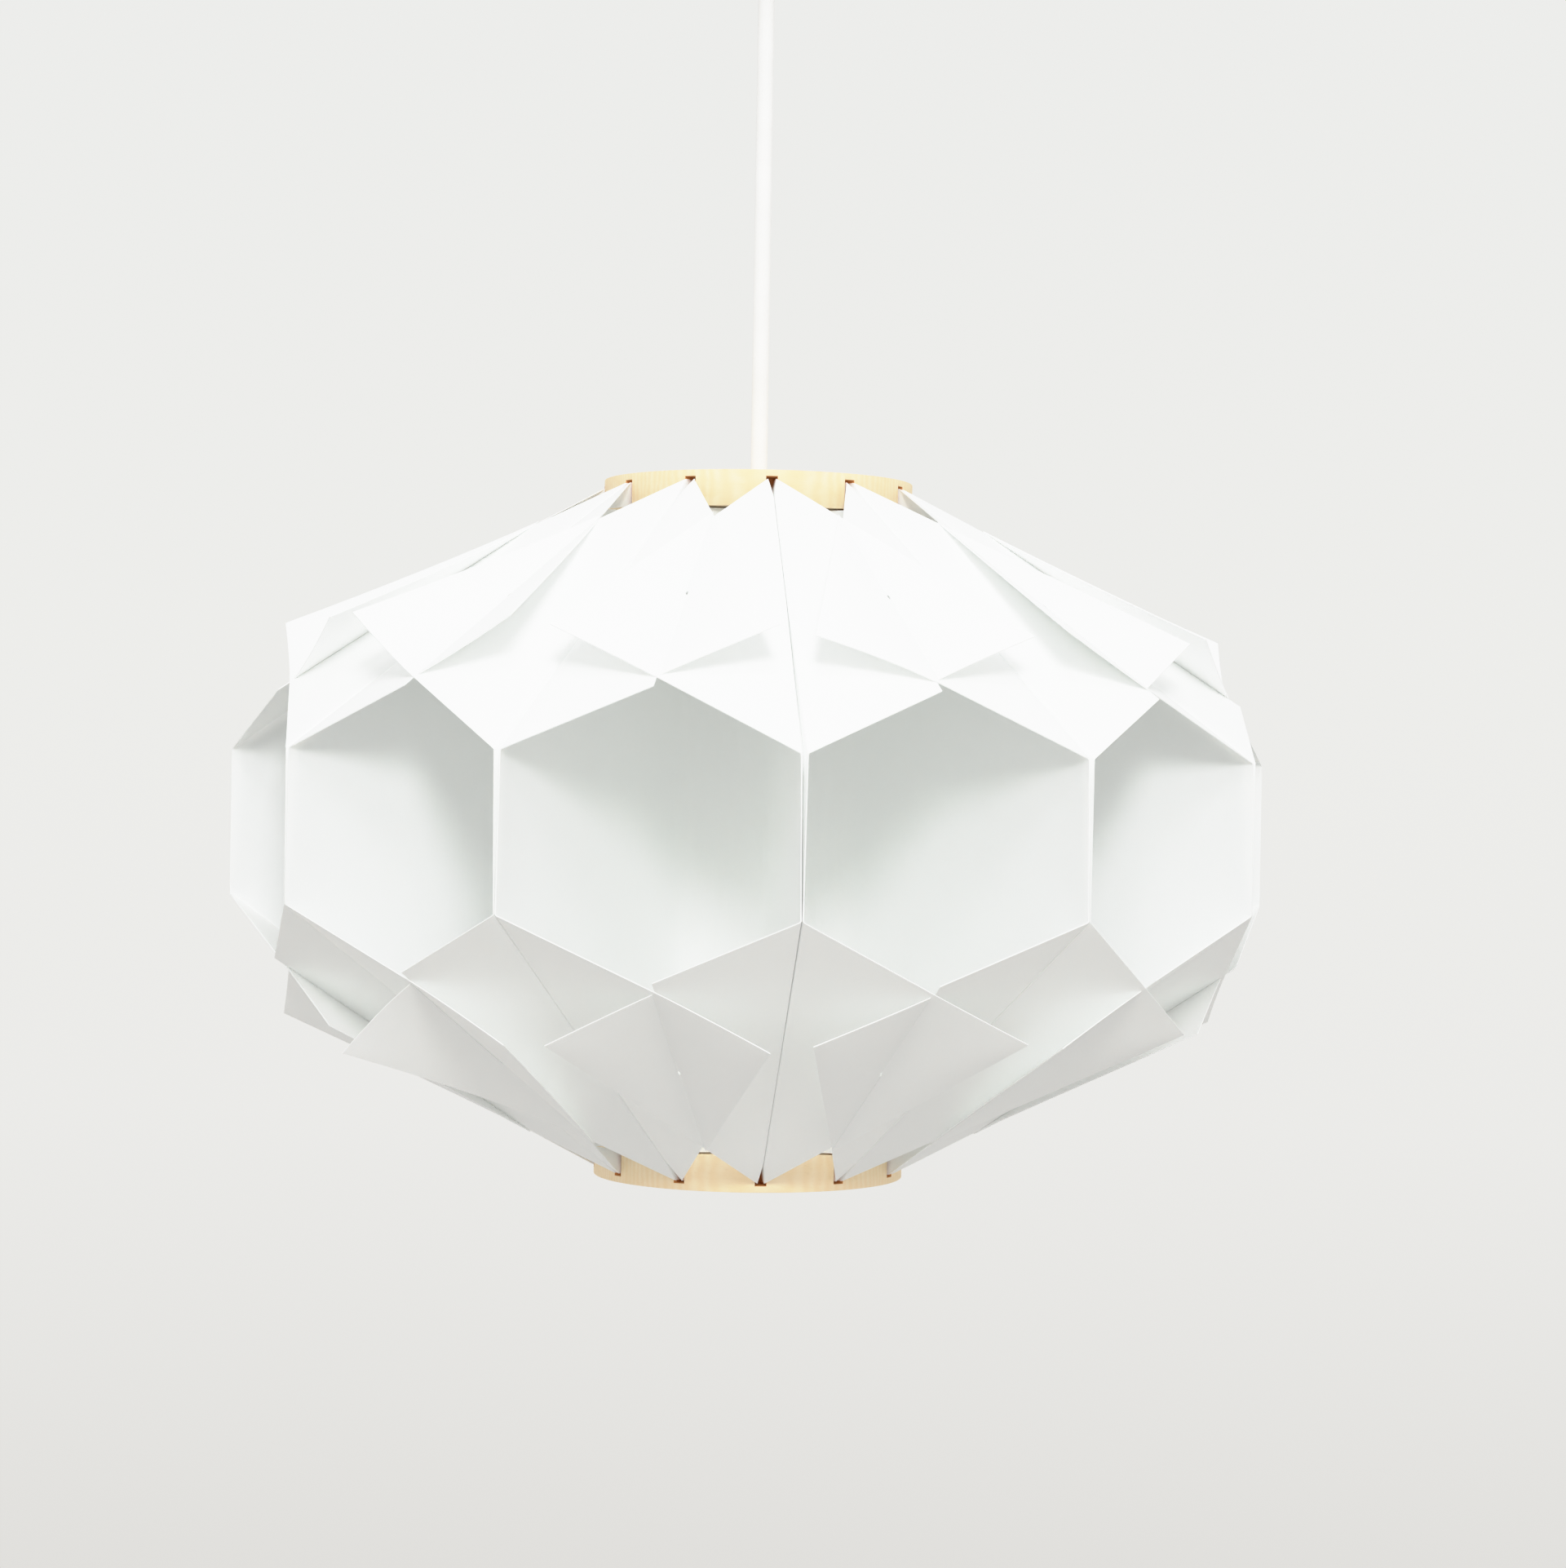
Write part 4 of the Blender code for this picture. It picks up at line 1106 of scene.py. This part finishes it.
def make_world():
    """Soft studio surroundings: bright all round, a little darker low down behind the lamp."""
    world = bpy.data.worlds.new("studio")
    world.use_nodes = True
    bpy.context.scene.world = world
    tree = world.node_tree
    direction = tree.nodes.new("ShaderNodeTexCoord").outputs["Generated"]
    split = tree.nodes.new("ShaderNodeSeparateXYZ")
    tree.links.new(direction, split.inputs["Vector"])
    ramp = tree.nodes.new("ShaderNodeValToRGB")
    height = tree.nodes.new("ShaderNodeMapRange")
    height.inputs["From Min"].default_value = -1.0
    tree.links.new(split.outputs["Z"], height.inputs["Value"])
    tree.links.new(height.outputs["Result"], ramp.inputs["Fac"])
    set_stops(ramp, SKY)
    background = tree.nodes["Background"]
    tree.links.new(ramp.outputs["Color"], background.inputs["Color"])
    background.inputs["Strength"].default_value = 1.0


def area_light(name, place, target, size, power, tone=(1.0, 1.0, 1.0)):
    data = bpy.data.lights.new(name, "AREA")
    data.shape = "DISK"
    data.size = size
    data.energy = power
    data.color = tone
    light = bpy.data.objects.new(name, data)
    light.visible_camera = False
    bpy.context.scene.collection.objects.link(light)
    light.location = place
    light.rotation_euler = (Vector(target) - Vector(place)).to_track_quat("-Z", "Y").to_euler()


def make_lights():
    middle = Vector((0, 0, SHADE_MID))
    area_light("key", middle + Vector((-0.15, -1.7, 1.9)), middle, 0.45, 5.0, (1.0, 0.995, 0.985))
    area_light("front", middle + Vector((-0.05, -2.3, 1.15)), middle, 0.6, 23.0)
    area_light("back", middle + Vector((0.3, 2.4, 1.1)), middle, 1.2, 8.0)


def make_floor():
    shape = bmesh.new()
    bmesh.ops.create_circle(shape, cap_ends=True, radius=FLOOR_RADIUS, segments=96)
    made = Nodes("pale_floor", 0.8, Specular_IOR_Level=0.2)
    made.color(made.ramp(made.noise(3.0, 4.0), [(0.3, (0.58, 0.565, 0.545)), (0.7, (0.60, 0.585, 0.565))]))
    # it fades into the surroundings towards its rim
    away = made.add("VectorMath")
    away.operation = "LENGTH"
    made.link(made.place, away, "Vector")
    fade = made.add("MapRange", From_Min=FLOOR_RADIUS / 2, From_Max=FLOOR_RADIUS, To_Min=1.0, To_Max=0.0)
    fade.interpolation_type = "SMOOTHSTEP"
    made.link(away.outputs["Value"], fade, "Value")
    made.link(fade.outputs["Result"], made.shader, "Alpha")
    floor = new_object("floor", mesh_from(shape, "floor"), made.material)
    floor.location.z = SHADE_MID + CAMERA_RISE - FLOOR_DROP


def soften_highlights():
    """Tone curve with a soft shoulder, so that bright paper keeps its shading."""
    view = bpy.context.scene.view_settings
    view.use_curve_mapping = True
    curves = view.curve_mapping
    curves.white_level = (WHITE_LEVEL,) * 3
    points = curves.curves[3].points
    for light, shown in SHOULDER:
        points.new(light / WHITE_LEVEL, shown)
    curves.update()


make_world()
make_lights()
make_floor()
bpy.context.scene.view_settings.view_transform = "Standard"
soften_highlights()
bpy.context.scene.cycles.max_bounces = 16
bpy.context.scene.cycles.diffuse_bounces = 12
